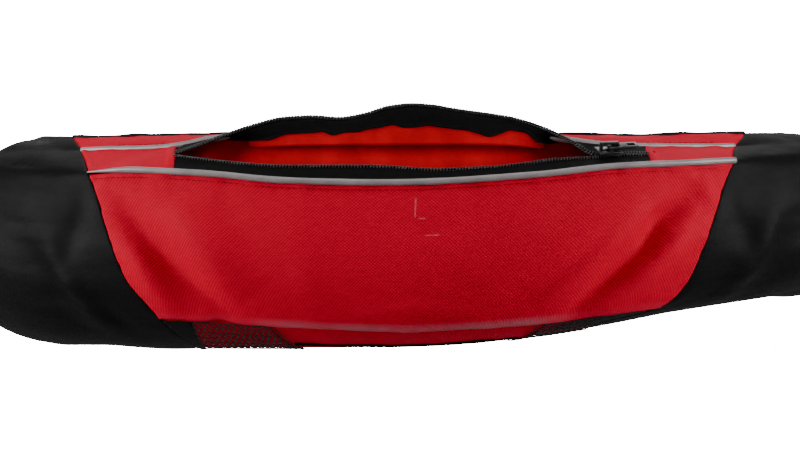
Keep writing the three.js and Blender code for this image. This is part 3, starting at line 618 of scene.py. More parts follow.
# Painted shade: the colour is darker inside each hole, as shade in the recess.
rim = share_of(tree, blend_math(tree, hole01, -0.6, ground), -0.5, 0.5)
paint(tree, shader, rim, "#020202", "#262627")
roughness(tree, shader, fuzz, 0.7, 0.9)
relief(tree, shader, count_up(tree, "SUBTRACT", 1.0, hole01), 0.8, 0.8)

# %% Black netting
# Knitted nylon net: thin glossy threads with a fuzzy edge, black, with small lights on the knots.
black_netting, tree, shader = begin("black_nylon_netting", IOR=1.53, Specular_IOR_Level=0.35,
                                    Sheen_Weight=0.03)
knots = noise(tree, 900, 2)
paint(tree, shader, knots, "#0a0a0a", "#1d1c1c")
roughness(tree, shader, knots, 0.35, 0.6)
relief(tree, shader, knots, 0.15, 0.6)

# %% Grey reflective piping
# Film with glass beads, wrapped round a cord: pale grey with a soft, wide light along its top and
# fine cross ribs where the film is drawn round the bends.
grey_reflective, tree, shader = begin("grey_reflective_film", Metallic=0.25, IOR=1.5, Specular_IOR_Level=0.5)
u, v = cloth_mm(tree)
ribs = share_of(tree, wave(tree, u, 1.1))
soil = noise(tree, 90, 4, seed=1.0)
paint(tree, shader, soil, "#7d7576", "#b5adae")
roughness(tree, shader, soil, 0.36, 0.52)
relief(tree, shader, ribs, 0.07, 0.5, relief(tree, shader, soil, 0.2, 0.4))

# %% Zip tape
# Woven polyester tape in herringbone: dull black, each stripe leaning the other way.
zip_tape_cloth, tree, shader = begin("black_herringbone_tape", IOR=1.5, Specular_IOR_Level=0.1)
u, v = cloth_mm(tree)
zigzag = add(tree, "Math", {0: v, 1: 2.0}, operation="PINGPONG").outputs[0]
slanted = count_up(tree, "ADD", u, zigzag)
herring = share_of(tree, wave(tree, slanted, 0.95))
fluff = noise(tree, 300, 2)
shade = blend_math(tree, fluff, 0.5, count_up(tree, "MULTIPLY", herring, 0.5))
paint(tree, shader, shade, "#020202", "#0a0909")
roughness(tree, shader, fluff, 0.6, 0.8)
relief(tree, shader, herring, 0.12, 0.7)

# %% Coil nylon
# Moulded monofilament of black nylon, painted mid grey as a painted highlight for the light on every turn.
coil_nylon, tree, shader = begin("black_nylon_monofilament", IOR=1.53, Specular_IOR_Level=0.45)
speckle_and_glint = noise(tree, 500, 2)
# Painted highlight: greys lighter than black nylon stand in for the bright light on each turn, varied by
# noise.
paint(tree, shader, speckle_and_glint, "#282727", "#484646")
roughness(tree, shader, speckle_and_glint, 0.22, 0.4)

# %% Black lacquered zinc
# Die-cast zinc with black lacquer: glossy, slightly uneven, with grey metal rubbed bare in spots.
black_zinc, tree, shader = begin("black_lacquered_zinc", IOR=1.5, Specular_IOR_Level=0.5, Coat_Weight=0.35,
                                 Coat_Roughness=0.15)
rubbed = share_of(tree, noise(tree, 700, 4, seed=4.0), 0.62, 0.72)
paint(tree, shader, rubbed, "#17171a", "#5b5a5c")
tree.links.new(count_up(tree, "MULTIPLY", rubbed, 0.8), shader.inputs["Metallic"])
roughness(tree, shader, noise(tree, 300, 3), 0.25, 0.42)
relief(tree, shader, noise(tree, 1200, 2), 0.03, 0.4)

# %% Nylon webbing
# Heavy woven nylon band: ribs along it and a slanted stitch-like weave across, a dull black.
webbing_nylon, tree, shader = begin("black_nylon_webbing", IOR=1.53, Specular_IOR_Level=0.35,
                                    Sheen_Weight=0.08)
u, v = cloth_mm(tree)
lean = add(tree, "Math", {0: v, 1: 3.17}, operation="PINGPONG").outputs[0]
picks = wave(tree, count_up(tree, "ADD", u, count_up(tree, "MULTIPLY", lean, 0.7)), 1.9)
cords = wave(tree, v, 1.58)
weave = share_of(tree, count_up(tree, "ADD", picks, cords), -2.0, 2.0)
fibre = noise(tree, 600, 2)
shade = blend_math(tree, fibre, 0.4, count_up(tree, "MULTIPLY", weave, 0.6))
paint(tree, shader, shade, "#0b0b0c", "#2a292a")
roughness(tree, shader, fibre, 0.5, 0.72)
relief(tree, shader, weave, 0.35, 0.8)

# %% Moulded acetal
# Injection-moulded acetal with a fine spark-eroded grain: black, low gloss, smooth on worn edges.
buckle_acetal, tree, shader = begin("black_moulded_acetal", IOR=1.48, Specular_IOR_Level=0.5)
grain = noise(tree, 2200, 2)
handled = noise(tree, 45, 4, seed=6.0)
paint(tree, shader, handled, "#121213", "#1f1f20")
roughness(tree, shader, handled, 0.34, 0.52)
relief(tree, shader, grain, 0.05, 0.5)

# %% Sewing thread
# Bonded polyester thread, twisted from three plies: a satin light with a fine slant.
def thread(name, low, high):
    made, tree, shader = begin(name, IOR=1.5, Specular_IOR_Level=0.2)
    ply = noise(tree, 1500, 1)
    paint(tree, shader, ply, low, high)
    roughness(tree, shader, ply, 0.4, 0.6)
    relief(tree, shader, ply, 0.08, 0.5)
    return made


black_thread = thread("black_polyester_thread", "#0e0e0e", "#2b2a2a")
red_thread = thread("red_polyester_thread", "#70000c", "#a8061a")
print("materials:", len(bpy.data.materials))

# %% [markdown]
# The front is one panel of coated polyester. It is sewn under the lip piping, bulges over what
# is in the pocket, and rolls under at the fold, where a shadow parts it from the lower panel.
# The creases run from the seams toward the middle. Each is a line with a width and a depth, so
# it can be set against the photograph one by one.
# %% Creases
def near_line(x, z, line):
    """Distance in mm from a line of points seen from the front, its side, and the share along it."""
    best = np.full(x.shape, 1e9)
    side, share = np.zeros(x.shape), np.zeros(x.shape)
    for k, ((ax, az), (bx, bz)) in enumerate(zip(line[:-1], line[1:])):
        dx, dz = bx - ax, bz - az
        t = np.clip(((x - ax) * dx + (z - az) * dz) / (dx * dx + dz * dz), 0, 1)
        px, pz = x - ax - t * dx, z - az - t * dz
        away = np.hypot(px, pz)
        nearer = away < best
        best = np.where(nearer, away, best)
        side = np.where(nearer, np.sign(dx * pz - dz * px), side)
        share = np.where(nearer, (k + t) / (len(line) - 1), share)
    return best, side, share


def crease_height(x, z, creases):
    """Height of creases: a soft ridge or valley, and a step that rises on the line's left."""
    height = np.zeros(x.shape)
    for line, width, deep, step in creases:
        away, side, share = near_line(x, z, line)
        fade = np.sin(np.pi * np.clip(share * 0.94 + 0.03, 0, 1)) ** 0.6
        bell = np.exp(-(away / width) ** 2)
        height += fade * bell * (deep + step * side * away / width)
    return 1.7 * height


front_creases = [
    ([(-137, 26), (-122, 6), (-111, -5), (-98, -17), (-84, -28), (-74, -36)], 5.5, -1.7, 1.1),
    ([(-130, 4), (-118, -16), (-106, -31)], 6.0, 1.3, -0.6),
    ([(-112, 24), (-102, 8), (-90, -8), (-78, -22)], 11.0, 1.4, 0.7),
    ([(-86, 28), (-76, 8), (-66, -8)], 9.0, -0.4, 0.5),
    ([(62, -37), (74, -27), (86, -17), (104, -3), (113, 10), (128, 19)], 4.6, -2.3, 1.0),
    ([(52, -24), (74, -8), (94, 8), (106, 22)], 8.0, 1.7, -0.7),
    ([(76, -34), (100, -19), (119, -4), (129, 8)], 5.5, 1.6, 0.6),
    ([(38, -22), (58, -2), (78, 22)], 9.0, -0.6, 0.6),
    ([(-140, 33), (-120, 30), (-96, 27)], 2.6, -0.5, 0.3),
    ([(-30, -30), (0, -27), (34, -30)], 5.0, 0.7, 0.0),
    ([(120, 33), (134, 26), (140, 14)], 4.0, 0.6, 0.2),
    ([(-58, 18), (-48, 0), (-44, -20)], 7.0, 0.5, -0.3),
    ([(-12, 20), (6, 12), (24, 16)], 8.0, -0.4, 0.2),
]

# %% Front panel
roll_radius = 1.5
front_stations = 2 + steps(0.018, 1 - 0.008, 96)
sewn_gap = 0.08


def panel_ends(stations):
    """Lengths along the waist where each row of a panel meets the left and the right seam."""
    section = lambda along: raised(along, stations, np.zeros(len(stations)))
    return [seam_along(side, section, sewn_gap, len(stations)) for side in (-1, 1)]


def panel_grid(stations, columns, height):
    """Points of a panel between both seams; height is a function of along, station and place."""
    left, right = panel_ends(stations)
    share = np.linspace(0, 1, columns + 1)[:, None]
    along = left + (right - left) * share
    station = np.broadcast_to(stations, along.shape)
    base = shell(along, station)
    place = on_waist(along, base) / MM
    lift = height(along, station, place, np.minimum(along - left, right - along))
    point = raised(along, station, lift)
    return along, station, point, on_waist(along, point)


front_fall, strip_fall = 70, 16


def front_height(along, station, place, from_seam):
    share = station - 2
    from_lip, from_fold = share * front_fall, (1 - share) * front_fall
    inside = np.sin(np.pi * np.clip(share, 0, 1)) ** 0.5
    height = crease_height(place[..., 0], place[..., 2], front_creases) * inside
    at_seam = np.exp(-from_seam / 3.5)
    height += at_seam * (0.4 * ripple(place[..., 2] / 2.3, 1) - 0.3)
    at_lip = np.exp(-from_lip / 6)
    height += at_lip * 0.5 * ripple(along / 3.1, 2)
    stitched = np.exp(-((from_lip - 3.4) / 0.8) ** 2)
    ends_only = ease(np.abs(along + 6), 25, 55)
    height += 0.35 * stitched * (0.35 + 0.65 * ends_only) * (1 + 0.4 * ripple(along / 2.2, 3))
    height -= 0.7 * np.exp(-from_lip / 1.0)
    height += 0.25 * ripple(along / 9 + place[..., 2] / 14, 4) * inside
    at_fold = np.exp(-from_fold / 5)
    height += at_fold * 0.45 * ripple(along / 7, 5)
    return np.minimum(height, 4.2)


along, station, point, grid = panel_grid(front_stations, 300, front_height)
run = unit(point[:, -1] - point[:, -2])
nearness = np.exp(-(3 - station[:, :, None]) * front_fall / 9)
notch = 1.6 * np.exp(-((along[:, -1] + 79) / 5) ** 2) - 0.5 * np.exp(-((along[:, -1] + 66) / 6) ** 2)
point = point - run[:, None] * notch[:, None, None] * nearness
grid = on_waist(along, point)
last = point[:, -1]
out_of = np.stack([-run[:, 1], run[:, 0]], -1)
turned = []
for angle in np.linspace(0, np.pi, 8)[1:]:
    turned.append(last - out_of * roll_radius * (1 - np.cos(angle)) + run * roll_radius * np.sin(angle))
for _ in range(2):
    turned.append(turned[-1] - run * 1.5)
under = np.stack([waist(along[:, -1], p[:, 0], p[:, 1]) for p in turned], 1)
front_cloth = cloth("front_cloth", np.concatenate([grid, under], 1), 0.8)
front_down = float(np.linalg.norm(np.diff(grid, axis=1), axis=-1).mean(0).sum()) / MM
front_uv = flat_map(grid) / MM


def spot(x, z):
    """Place on the front's cut, in mm, of a point seen from the front."""
    away = np.hypot(grid[..., 0] / MM - x, grid[..., 2] / MM - z)
    return front_uv[np.unravel_index(away.argmin(), away.shape)]


scuffs = [(*spot(-1.0, 20.0), 0.35, 4.6), (*spot(1.6, 15.0), 1.6, 0.3), (*spot(6.5, 7.6), 3.0, 0.3)]
# The front's cloth, with a painted sheen band along its rolled lower edge.
red_with_painted_sheen = red_oxford("red_polyester_painted_sheen_edge", front_down - 5.5, front_down - 0.5,
                        spot(-2, -30)[0], 60, scuffs)
dress(front_cloth, red_with_painted_sheen, "red_cloth", "front_panel")

# %% [markdown]
# The strip along the top, the panel under the fold and the panel behind the bag are lighter
# cloth. They are made in the same way, each with the small waves that sewing leaves near a seam.
# %% Top strip, lower panel and back panel
def strip_height(along, station, place, from_seam):
    share = station - np.floor(station[..., :1])
    edge = np.exp(-share * strip_fall / 2.5) + np.exp(-(1 - share) * strip_fall / 2.5)
    return (0.35 * ripple(along / 3.3, 6) * edge + 0.5 * ripple(along / 12, 7) * np.sin(np.pi * share)
            - 0.5 * np.exp(-from_seam / 2.5))


along, station, point, grid = panel_grid(steps(0.02, 0.905, 18), 220, strip_height)
tucked = waist(along[:, :1], 0.9, back_edge(along[:, :1])[..., 1] - 0.2)
grid = np.concatenate([tucked, grid], 1)
top_cloth = cloth("top_cloth", grid, 0.8)
dress(top_cloth, red_polyester, "red_cloth", "top_panel")


def lower_height(along, station, place, from_seam):
    share = np.clip(station - 3, 0, 1)
    under_fold = -1.3 * np.exp(-share * strip_fall / 1.6)
    waves = 0.3 * ripple(along / 6, 8) * np.sin(np.pi * share)
    return waves - 0.4 * np.exp(-from_seam / 2.5) - 0.25 + under_fold


lower_stations = np.concatenate([3 + steps(0.0, 0.999, 26), [4.05, 4.11]])
along, station, point, grid = panel_grid(lower_stations, 220, lower_height)
rise = unit(shell(along[:, 0], np.full(len(along), 2.9)) - shell(along[:, 0], np.full(len(along), 2.99)))
hem = [waist(along[:, 0], *(point[:, 0] + rise * k).T) for k in (3.0, 2.0, 1.0)]
lower_cloth = cloth("lower_cloth", np.concatenate([np.stack(hem, 1), grid], 1), 0.8)
dress(lower_cloth, red_polyester, "red_cloth", "lower_panel")


def back_height(along, station, place, from_seam):
    share = np.clip(station - 5, 0, 1)
    channels = np.exp(-((share - 0.35) / 0.03) ** 2) + np.exp(-((share - 0.65) / 0.03) ** 2)
    return (0.4 * ripple(place[..., 2] / 9 + along / 60, 9) * np.sin(np.pi * share)
            - 0.35 * channels - 0.4 * np.exp(-from_seam / 2.5) - 0.05 - 0.9 * (1 - ease(station, 4.06, 4.2)))


back_stations = np.concatenate([steps(4.03, 5.0, 14)[:-1], steps(5.0, 5.995, 44)])
along, station, point, grid = panel_grid(back_stations, 160, back_height)
tucked = waist(along[:, -1:], 0.1, back_edge(along[:, -1:])[..., 1] - 0.3)
back_cloth = cloth("back_cloth", np.concatenate([grid, tucked], 1), 0.8)
dress(back_cloth, spacer_mesh, "black_cloth", "back_panel")

# %% [markdown]
# Behind the pocket lies the padding with the folded bladder in it, faced with red lining. It is a
# closed, crowned form: two skins on the section, sewn together round the edge.
# %% Padding behind the pocket
level_out = table([(0.00, 0.185), (0.12, 0.270), (0.28, 0.350), (0.50, 0.430), (0.80, 0.465),
                   (0.94, 0.440), (1.00, 0.410)])[0]
wall_head, wall_foot_rise, wall_clear = 1.3, 7, 2.2 * 1.85


def wall_up(along, level):
    head = np.minimum(back_edge(along)[..., 1], ridge(along)[..., 1]) - wall_head
    return head + (foot(along)[..., 1] + wall_foot_rise - head) * level


def back_out(along, up):
    base = foot(along)
    rise = np.clip((up - base[..., 1]) / foot_corner, 0, 1)
    return base[..., 0] * (1 - np.sqrt(1 - (1 - rise) ** 2))


def wall_front(along, level):
    return pair(level_out(level) * pack_thick * thickness_at(along), wall_up(along, level))


def wall_back(along, level):
    up = wall_up(along, level)
    low = up < foot(along)[..., 1] + foot_corner
    return pair(back_out(along, up) + np.where(low, wall_clear, 1.85), up)


def skins(front, back, columns, rows):
    """Two skins over the same shares, as one closed grid: down the front and up the back."""
    levels = 0.5 - 0.5 * np.cos(np.pi * steps(0, 1, rows))
    share = np.linspace(0, 1, columns + 1)[:, None]
    made = []
    for face in (front, back):
        section = lambda along: face(along, levels)
        left, right = [seam_along(side, section, 1.0, rows + 1) for side in (-1, 1)]
        along = left + (right - left) * share
        point = face(along, np.broadcast_to(levels, along.shape))
        made.append((along, point))
    return levels, made


wall_levels, ((along_f, point_f), (along_b, point_b)) = skins(wall_front, wall_back, 150, 60)
edge = np.minimum(np.minimum(wall_levels, 1 - wall_levels) * 8, 1)[None, :]
edge = edge * np.minimum(np.minimum(np.linspace(0, 1, 151), 1 - np.linspace(0, 1, 151)) * 16, 1)[:, None]
crown = np.sqrt(1 - (1 - edge) ** 2)
middle = (point_f[..., 0] + point_b[..., 0]) / 2
soft = 0.7 * ripple(along_f / 8 + 2 * wall_levels, 10) * crown
point_f[..., 0] = middle + (point_f[..., 0] - middle) * crown + np.minimum(soft, 0.4)
point_b[..., 0] = middle + (point_b[..., 0] - middle) * crown
front_skin = on_waist(along_f, point_f)
back_skin = on_waist(along_b, point_b)


def weld(made):
    """Merges doubles and turns the faces outward."""
    select_only(made)
    bpy.ops.object.mode_set(mode="EDIT")
    bpy.ops.mesh.select_all(action="SELECT")
    bpy.ops.mesh.remove_doubles(threshold=2e-5)
    bpy.ops.mesh.normals_make_consistent(inside=False)
    bpy.ops.object.mode_set(mode="OBJECT")
    made.data.shade_smooth()


def closed_pad(name, front_skin, back_skin):
    """A closed form from a front and a back skin of the same size."""
    columns, rows = front_skin.shape[0] - 1, front_skin.shape[1] - 1
    loop = np.concatenate([front_skin, back_skin[:, ::-1], front_skin[:, :1]], 1)
    loop_rows = loop.shape[1] - 1
    faces = grid_faces(columns, loop_rows)
    at = lambda i, j: i * (loop_rows + 1) + j
    for i in (0, columns):
        for j in range(rows):
            quad = (at(i, j), at(i, j + 1), at(i, loop_rows - j - 2), at(i, loop_rows - j - 1))
            faces.append(quad if i else quad[::-1])
    uv = flat_map(loop)
    made = new_piece(name, loop.reshape(-1, 3), faces, uv.reshape(-1, 2))
    weld(made)
    print(name, "triangles:", 2 * len(made.data.polygons))
    return made


# %% [markdown]
# Stuffed cloth is best left to a cloth simulation: it swells where nothing holds it and draws in
# where it is sewn. A coarse copy with even faces is blown up a little for 20 frames, with its sewn
# rims held. Each point of the fine form then moves as the copy's nearest points did, up to a cap,
# so the fine form keeps its sharp seams and its threads.
# %% Cloth simulation for padded pieces
def point_tree(points):
    """Finds the nearest of these points."""
    made = KDTree(len(points))
    for k, place in enumerate(points):
        made.insert(place, k)
    made.balance()
    return made


def swelled(name, front_skin, back_skin, held, cap):
    """Both skins after the simulation; held is 1 where a point is sewn down, in the skins' grid."""
    draft = closed_pad(name + "_draft", front_skin, back_skin)
    even = draft.modifiers.new("even", "REMESH")
    even.mode = "VOXEL"
    even.voxel_size = 5.0 * MM
    apply_modifiers(draft)
    rest = np.array([v.co for v in draft.data.vertices])
    fine = np.concatenate([front_skin.reshape(-1, 3), back_skin.reshape(-1, 3)])
    sewn_down = np.tile(held.reshape(-1), 2)
    nearest = point_tree(fine)
    pins = draft.vertex_groups.new(name="sewn")
    for k, place in enumerate(rest):
        pins.add([k], float(sewn_down[nearest.find(place)[1]]), "REPLACE")
    blown = draft.modifiers.new("blown", "CLOTH")
    cloth_like = {"quality": 5, "mass": 0.3, "tension_stiffness": 12, "compression_stiffness": 12,
                  "bending_stiffness": 0.4, "use_pressure": True, "uniform_pressure_force": 4,
                  "vertex_group_mass": "sewn"}
    for setting, value in cloth_like.items():
        setattr(blown.settings, setting, value)
    blown.settings.effector_weights.gravity = 0
    for frame_number in range(1, 21):
        bpy.context.scene.frame_set(frame_number)
    apply_modifiers(draft)
    bpy.context.scene.frame_set(1)
    moved = np.array([v.co for v in draft.data.vertices]) - rest
    bpy.data.objects.remove(draft, do_unlink=True)
    reach = np.linalg.norm(moved, axis=-1, keepdims=True)
    print(name, "simulated points:", len(rest), "swell, mm:", round(float(reach.max()) / MM, 2))
    moved = moved * np.minimum(1, cap * MM / np.maximum(reach, 1e-9))
    nearest = point_tree(rest)
    follow = np.zeros(fine.shape)
    for k, place in enumerate(fine):
        around = nearest.find_n(place, 5)
        weight = np.array([1 / (away + 1e-4) ** 2 for _, _, away in around])
        follow[k] = (moved[[index for _, index, _ in around]] * weight[:, None]).sum(0) / weight.sum()
    follow = (follow * (1 - sewn_down)[:, None]).reshape(2, *front_skin.shape)
    return front_skin + follow[0], back_skin + follow[1]


held = 1 - np.minimum(np.minimum(np.linspace(0, 1, 151), 1 - np.linspace(0, 1, 151)) * 20, 1)[:, None] * (
    np.minimum(np.minimum(wall_levels, 1 - wall_levels) * 6, 1)[None, :])
front_skin, blown_back = swelled("padding", front_skin, back_skin, held, 0.7)
back_skin = back_skin + 0.2 * (blown_back - back_skin)
padding = closed_pad("padding", front_skin, back_skin)
dress(padding, red_lining, "red_lining", "padded_back_wall")

# %% [markdown]
# Each cuff starts at the slanted seam with the bag's own section and grows round toward its tip,
# where it closes on the webbing. It is padded, so it is a closed form whose cloth is drawn tight
# at the seam and slack in between.
# %% Cuff forms
strap_out, strap_up = 5, -1.5


def cuff_face(along, station, roundness, face):
    boxy = shell(along, station)
    out, up = boxy[..., 0], boxy[..., 1]
    top, low = back_edge(along)[..., 1], foot(along)[..., 1]
    level = np.clip((up - low) / (top - low), 0, 1)
    full = np.sqrt(np.maximum(0, 1 - np.abs(2 * level - 1) ** 2.6)) * pack_thick * thickness_at(along)
    front = np.maximum(out + (full - out) * roundness, 2 * binding_radius)
    if face == "front":
        return pair(front, up)
    return pair(np.minimum(back_out(along, up) * (1 - roundness), front - binding_radius), up)


cuff_creases = {
    -1: [([(-138, 36), (-150, 22), (-160, 4), (-166, -16)], 6.0, -0.9, 0.4),
         ([(-118, -18), (-128, -6), (-140, 8)], 6.0, 1.3, -0.5),
         ([(-134, -38), (-146, -30), (-166, -26), (-190, -27)], 3.5, -0.9, 0.6),
         ([(-168, 16), (-182, 13), (-196, 14), (-212, 16)], 2.4, 0.6, 0.3),
         ([(-164, 8), (-180, 5), (-200, 7)], 2.0, 0.5, 0.2),
         ([(-172, 24), (-190, 22), (-206, 24)], 2.4, 0.5, 0.2)],
    1: [([(121, -18), (131, -4), (139, 12)], 6.0, 1.3, -0.5),
        ([(138, 24), (150, 12), (160, -4), (164, -18)], 6.0, -0.9, 0.4),
        ([(116, -28), (136, -24), (158, -24), (182, -20)], 3.2, -0.7, 0.6),
        ([(160, 14), (176, 10), (194, 11)], 2.4, 0.6, 0.3),
        ([(166, 4), (182, 1), (200, 2)], 2.0, 0.5, 0.2)],
}


def cuff_skins(side, columns=110, rows=84):
    """Front and back skins of a cuff, from the seam to the tip."""
    levels = steps(0, 1, rows)
    stations = 4 * levels
    stations = np.minimum(stations, 4 - 1e-6)
    share = np.linspace(0, 1, columns + 1)[:, None]
    skins_made = []
    for face in ("front", "back"):
        flat_face = lambda along: cuff_face(along, stations, 0.0, face)
        seam = seam_along(side, flat_face, -sewn_gap, rows + 1)
        along = seam + (side * half_length - seam) * share ** 1.1
        roundness = ease(share, 0, 0.7)
        point = cuff_face(along, np.broadcast_to(stations, along.shape), roundness, face)
        smooth = point.copy()
        for _ in range(14):
            smooth[:, 1:-1] = (smooth[:, :-2] + 2 * smooth[:, 1:-1] + smooth[:, 2:]) / 4
        keep = ease(share, 0.0, 0.16)[..., None]
        point = point * (1 - keep) + smooth * keep
        skins_made.append((along, point))
    return levels, share, skins_made


def make_cuff(name, side):
    levels, share, ((along_f, point_f), (along_b, point_b)) = cuff_skins(side)
    place = on_waist(along_f, point_f) / MM
    from_seam = np.abs(along_f - along_f[:1])
    to_tip = np.abs(along_f - side * half_length)
    body = np.sin(np.pi * np.clip(levels, 0.02, 0.98)) ** 0.5 * ease(from_seam, 0, 10)
    soft = fold_depth(along_f, point_f[..., 1]) * ease(from_seam, 0, 14) * ease(point_f[..., 0], 20, 40)
    soft = soft + crease_height(place[..., 0], place[..., 2], cuff_creases[side]) * body
    soft = soft + 0.35 * ripple(place[..., 2] / 2.6 + along_f / 30, 11) * body
    soft = soft + np.exp(-from_seam / 2.5) * (0.3 * ripple(place[..., 2] / 2.6, 12) - 0.3)
    point_f[..., 0] += np.clip(soft, -3, 2.2)
    tip = ease(to_tip, 3, 26) * 0.8 + 0.2
    for point in (point_f, point_b):
        point[..., 0] = strap_out + (point[..., 0] - strap_out) * tip
    back_soft = 0.5 * ripple(place[..., 2] / 8 + along_f / 22, 13) * body
    point_b[..., 0] += np.clip(back_soft, -0.6, 0.6)
    front_skin = on_waist(along_f, point_f)
    back_skin = on_waist(along_b, point_b)
    if side < 0:
        front_skin, back_skin = front_skin[::-1], back_skin[::-1]
    held = 1 - (ease(from_seam, 2, 16) * ease(to_tip, 8, 30))
    held = held[::-1] if side < 0 else held
    front_skin, back_skin = swelled(name, front_skin, back_skin, held, 3.0)
    made = closed_pad(name, front_skin, back_skin)
    dress(made, black_polyester, "black_cloth", "left_cuff" if side < 0 else "right_cuff")
    return made


make_cuff("cuff_left", -1)
make_cuff("cuff_right", 1)

# %% [markdown]
# The pipings are grey, light-catching cords sewn between two cloths. Each is a round tube with a
# slight swell, along the same corner line that the cloths meet on.
# %% Tubes along a line
def ring_faces(count, sides, start=0, caps=True):
    """Faces between rings of points in a row, with a cap at both ends."""
    faces = []
    for a in range(start, start + (count - 1) * sides, sides):
        for k in range(sides):
            n = (k + 1) % sides
            faces.append((a + k, a + sides + k, a + sides + n, a + n))
    if caps:
        last = start + (count - 1) * sides
        faces.append(tuple(range(start, start + sides)))
        faces.append(tuple(reversed(range(last, last + sides))))
    return faces


def tube(name, path, radius, sides=12, squash=1.0):
    """A closed round tube along points in metres, with caps; radius in mm may vary along it."""
    path = np.asarray(path, float)
    radius = np.broadcast_to(np.asarray(radius, float), len(path)) * MM
    run = unit(np.gradient(path, axis=0))
    side = unit(np.cross(run, np.array([0, 0, 1.0])))
    top = np.cross(side, run)
    turn = np.linspace(0, 2 * np.pi, sides, endpoint=False)
    ring = side[:, None] * np.cos(turn)[:, None] * squash + top[:, None] * np.sin(turn)[:, None]
    points = path[:, None] + ring * radius[:, None, None]
    faces = ring_faces(len(path), sides)
    length = length_along(path)
    uv = np.stack(np.meshgrid(length, turn * radius.mean(), indexing="ij"), -1).reshape(-1, 2)
    made = new_piece(name, points.reshape(-1, 3), faces, uv)
    weld(made)
    return made


def seam_to_seam(section, clear, count):
    """Lengths along the waist between both seams on one line of the section."""
    left, right = [seam_along(side, section, clear)[0] for side in (-1, 1)]
    return steps(left, right, count)


zip_length, zip_shift, coil_radius = 210, 2, 1.0
zip_from, zip_to = zip_shift - zip_length / 2, zip_shift + zip_length / 2


def raised_flap(along):
    """1 where the zip's rear tape stands up, 0 where it lies flat."""
    return ease(along, -87, -78) * (1 - ease(along, 58, 67))


def zip_direction(along):
    """Direction from the ridge to the rear teeth, and the pocket's side of it."""
    share = (along - zip_shift) / (zip_length / 2)
    back = pair(teeth_back_out(share) * pack_thick, teeth_back_up(share) * half_height)
    run = unit(back - ridge(along))
    return run, np.stack([run[..., 1], -run[..., 0]], -1)


teeth_back_out, teeth_back_up, teeth_front_out, teeth_front_up = table([
    (-1.000, 0.537, 0.892, 0.574, 0.861), (-0.924, 0.463, 0.941, 0.593, 0.847),
    (-0.829, 0.370, 1.024, 0.611, 0.827), (-0.686, 0.269, 1.131, 0.639, 0.800),
    (-0.562, 0.213, 1.190, 0.648, 0.782), (-0.448, 0.185, 1.200, 0.657, 0.780),
    (-0.324, 0.176, 1.180, 0.667, 0.780), (-0.210, 0.167, 1.218, 0.667, 0.776),
    (-0.114, 0.157, 1.278, 0.667, 0.767), (-0.019, 0.148, 1.298, 0.667, 0.745),
    (0.076, 0.148, 1.280, 0.667, 0.729), (0.171, 0.148, 1.239, 0.667, 0.731),
    (0.286, 0.157, 1.196, 0.667, 0.735), (0.410, 0.185, 1.147, 0.657, 0.753),
    (0.552, 0.283, 1.041, 0.639, 0.780), (0.648, 0.407, 0.920, 0.611, 0.778),
    (0.724, 0.524, 0.808, 0.593, 0.773), (0.781, 0.537, 0.802, 0.589, 0.778),
    (0.838, 0.539, 0.792, 0.587, 0.776), (1.000, 0.539, 0.780, 0.587, 0.763),
])

# %% Pipings and bindings
along = seam_to_seam(ridge, 0.3, 200)
run, pocket_side = zip_direction(np.clip(along, zip_from, zip_to))
standing = raised_flap(along)[:, None]
line = ridge(along) + standing * (run * 0.6 - pocket_side * 1.4)
piping_top = tube("piping_top", on_waist(along, line), 1.5 + 0.06 * ripple(along / 5, 14), 14)
dress(piping_top, grey_reflective, "grey_piping", "piping_top")

along = seam_to_seam(lip, 0.2, 200)
line = lip(along)
slim = 1.5 * (0.35 + 0.65 * ease(along, along[0], along[0] + 22))
piping_front = tube("piping_front", on_waist(along, line), slim + 0.06 * ripple(along / 5, 15), 14)
dress(piping_front, grey_reflective, "grey_piping", "piping_front")

along = seam_to_seam(lambda a: pair(binding_radius, back_edge(a)[..., 1]), 0.15, 260)
lift = 0.45 * ripple(along / 7, 16)
line = pair(binding_radius + 0.2, back_edge(along)[:, 1] + lift)
top_binding = tube("top_binding", on_waist(along, line), 1.0, 10, 0.8)
dress(top_binding, black_polyester, "black_cloth", "top_binding")

red_at_fold, red_at_foot, red_shift = 55, 45, -3.5
along = steps(red_shift - 47, red_shift + 46, 90)
line = raised(along, np.full(91, 3.55), np.full(91, 0.25) + 0.1 * ripple(along / 5, 17))
lower_piping = tube("lower_piping", on_waist(along, line), 0.75, 8)
dress(lower_piping, black_polyester, "black_cloth", "lower_piping")

# %% [markdown]
# The zip is a nylon coil zip. Two woven black tapes are sewn under the pipings. The rear one
# stands up where the pocket is open, so its inner side and the wavy edge of its seam allowance
# show over the red lining.
# %% Zip tapes and the red ends of the zip
def teeth_lines(along):
    """The two rows of teeth in the section, never nearer than they are when closed."""
    share = (along - zip_shift) / (zip_length / 2)
    back = pair(teeth_back_out(share) * pack_thick, teeth_back_up(share) * half_height)
    front = pair(teeth_front_out(share) * pack_thick, teeth_front_up(share) * half_height)
    middle, half = (back + front) / 2, (front - back) / 2
    reach = np.linalg.norm(half, axis=-1, keepdims=True)
    half = half * np.maximum(reach, coil_radius + gap / 2) / reach
    return middle - half, middle + half


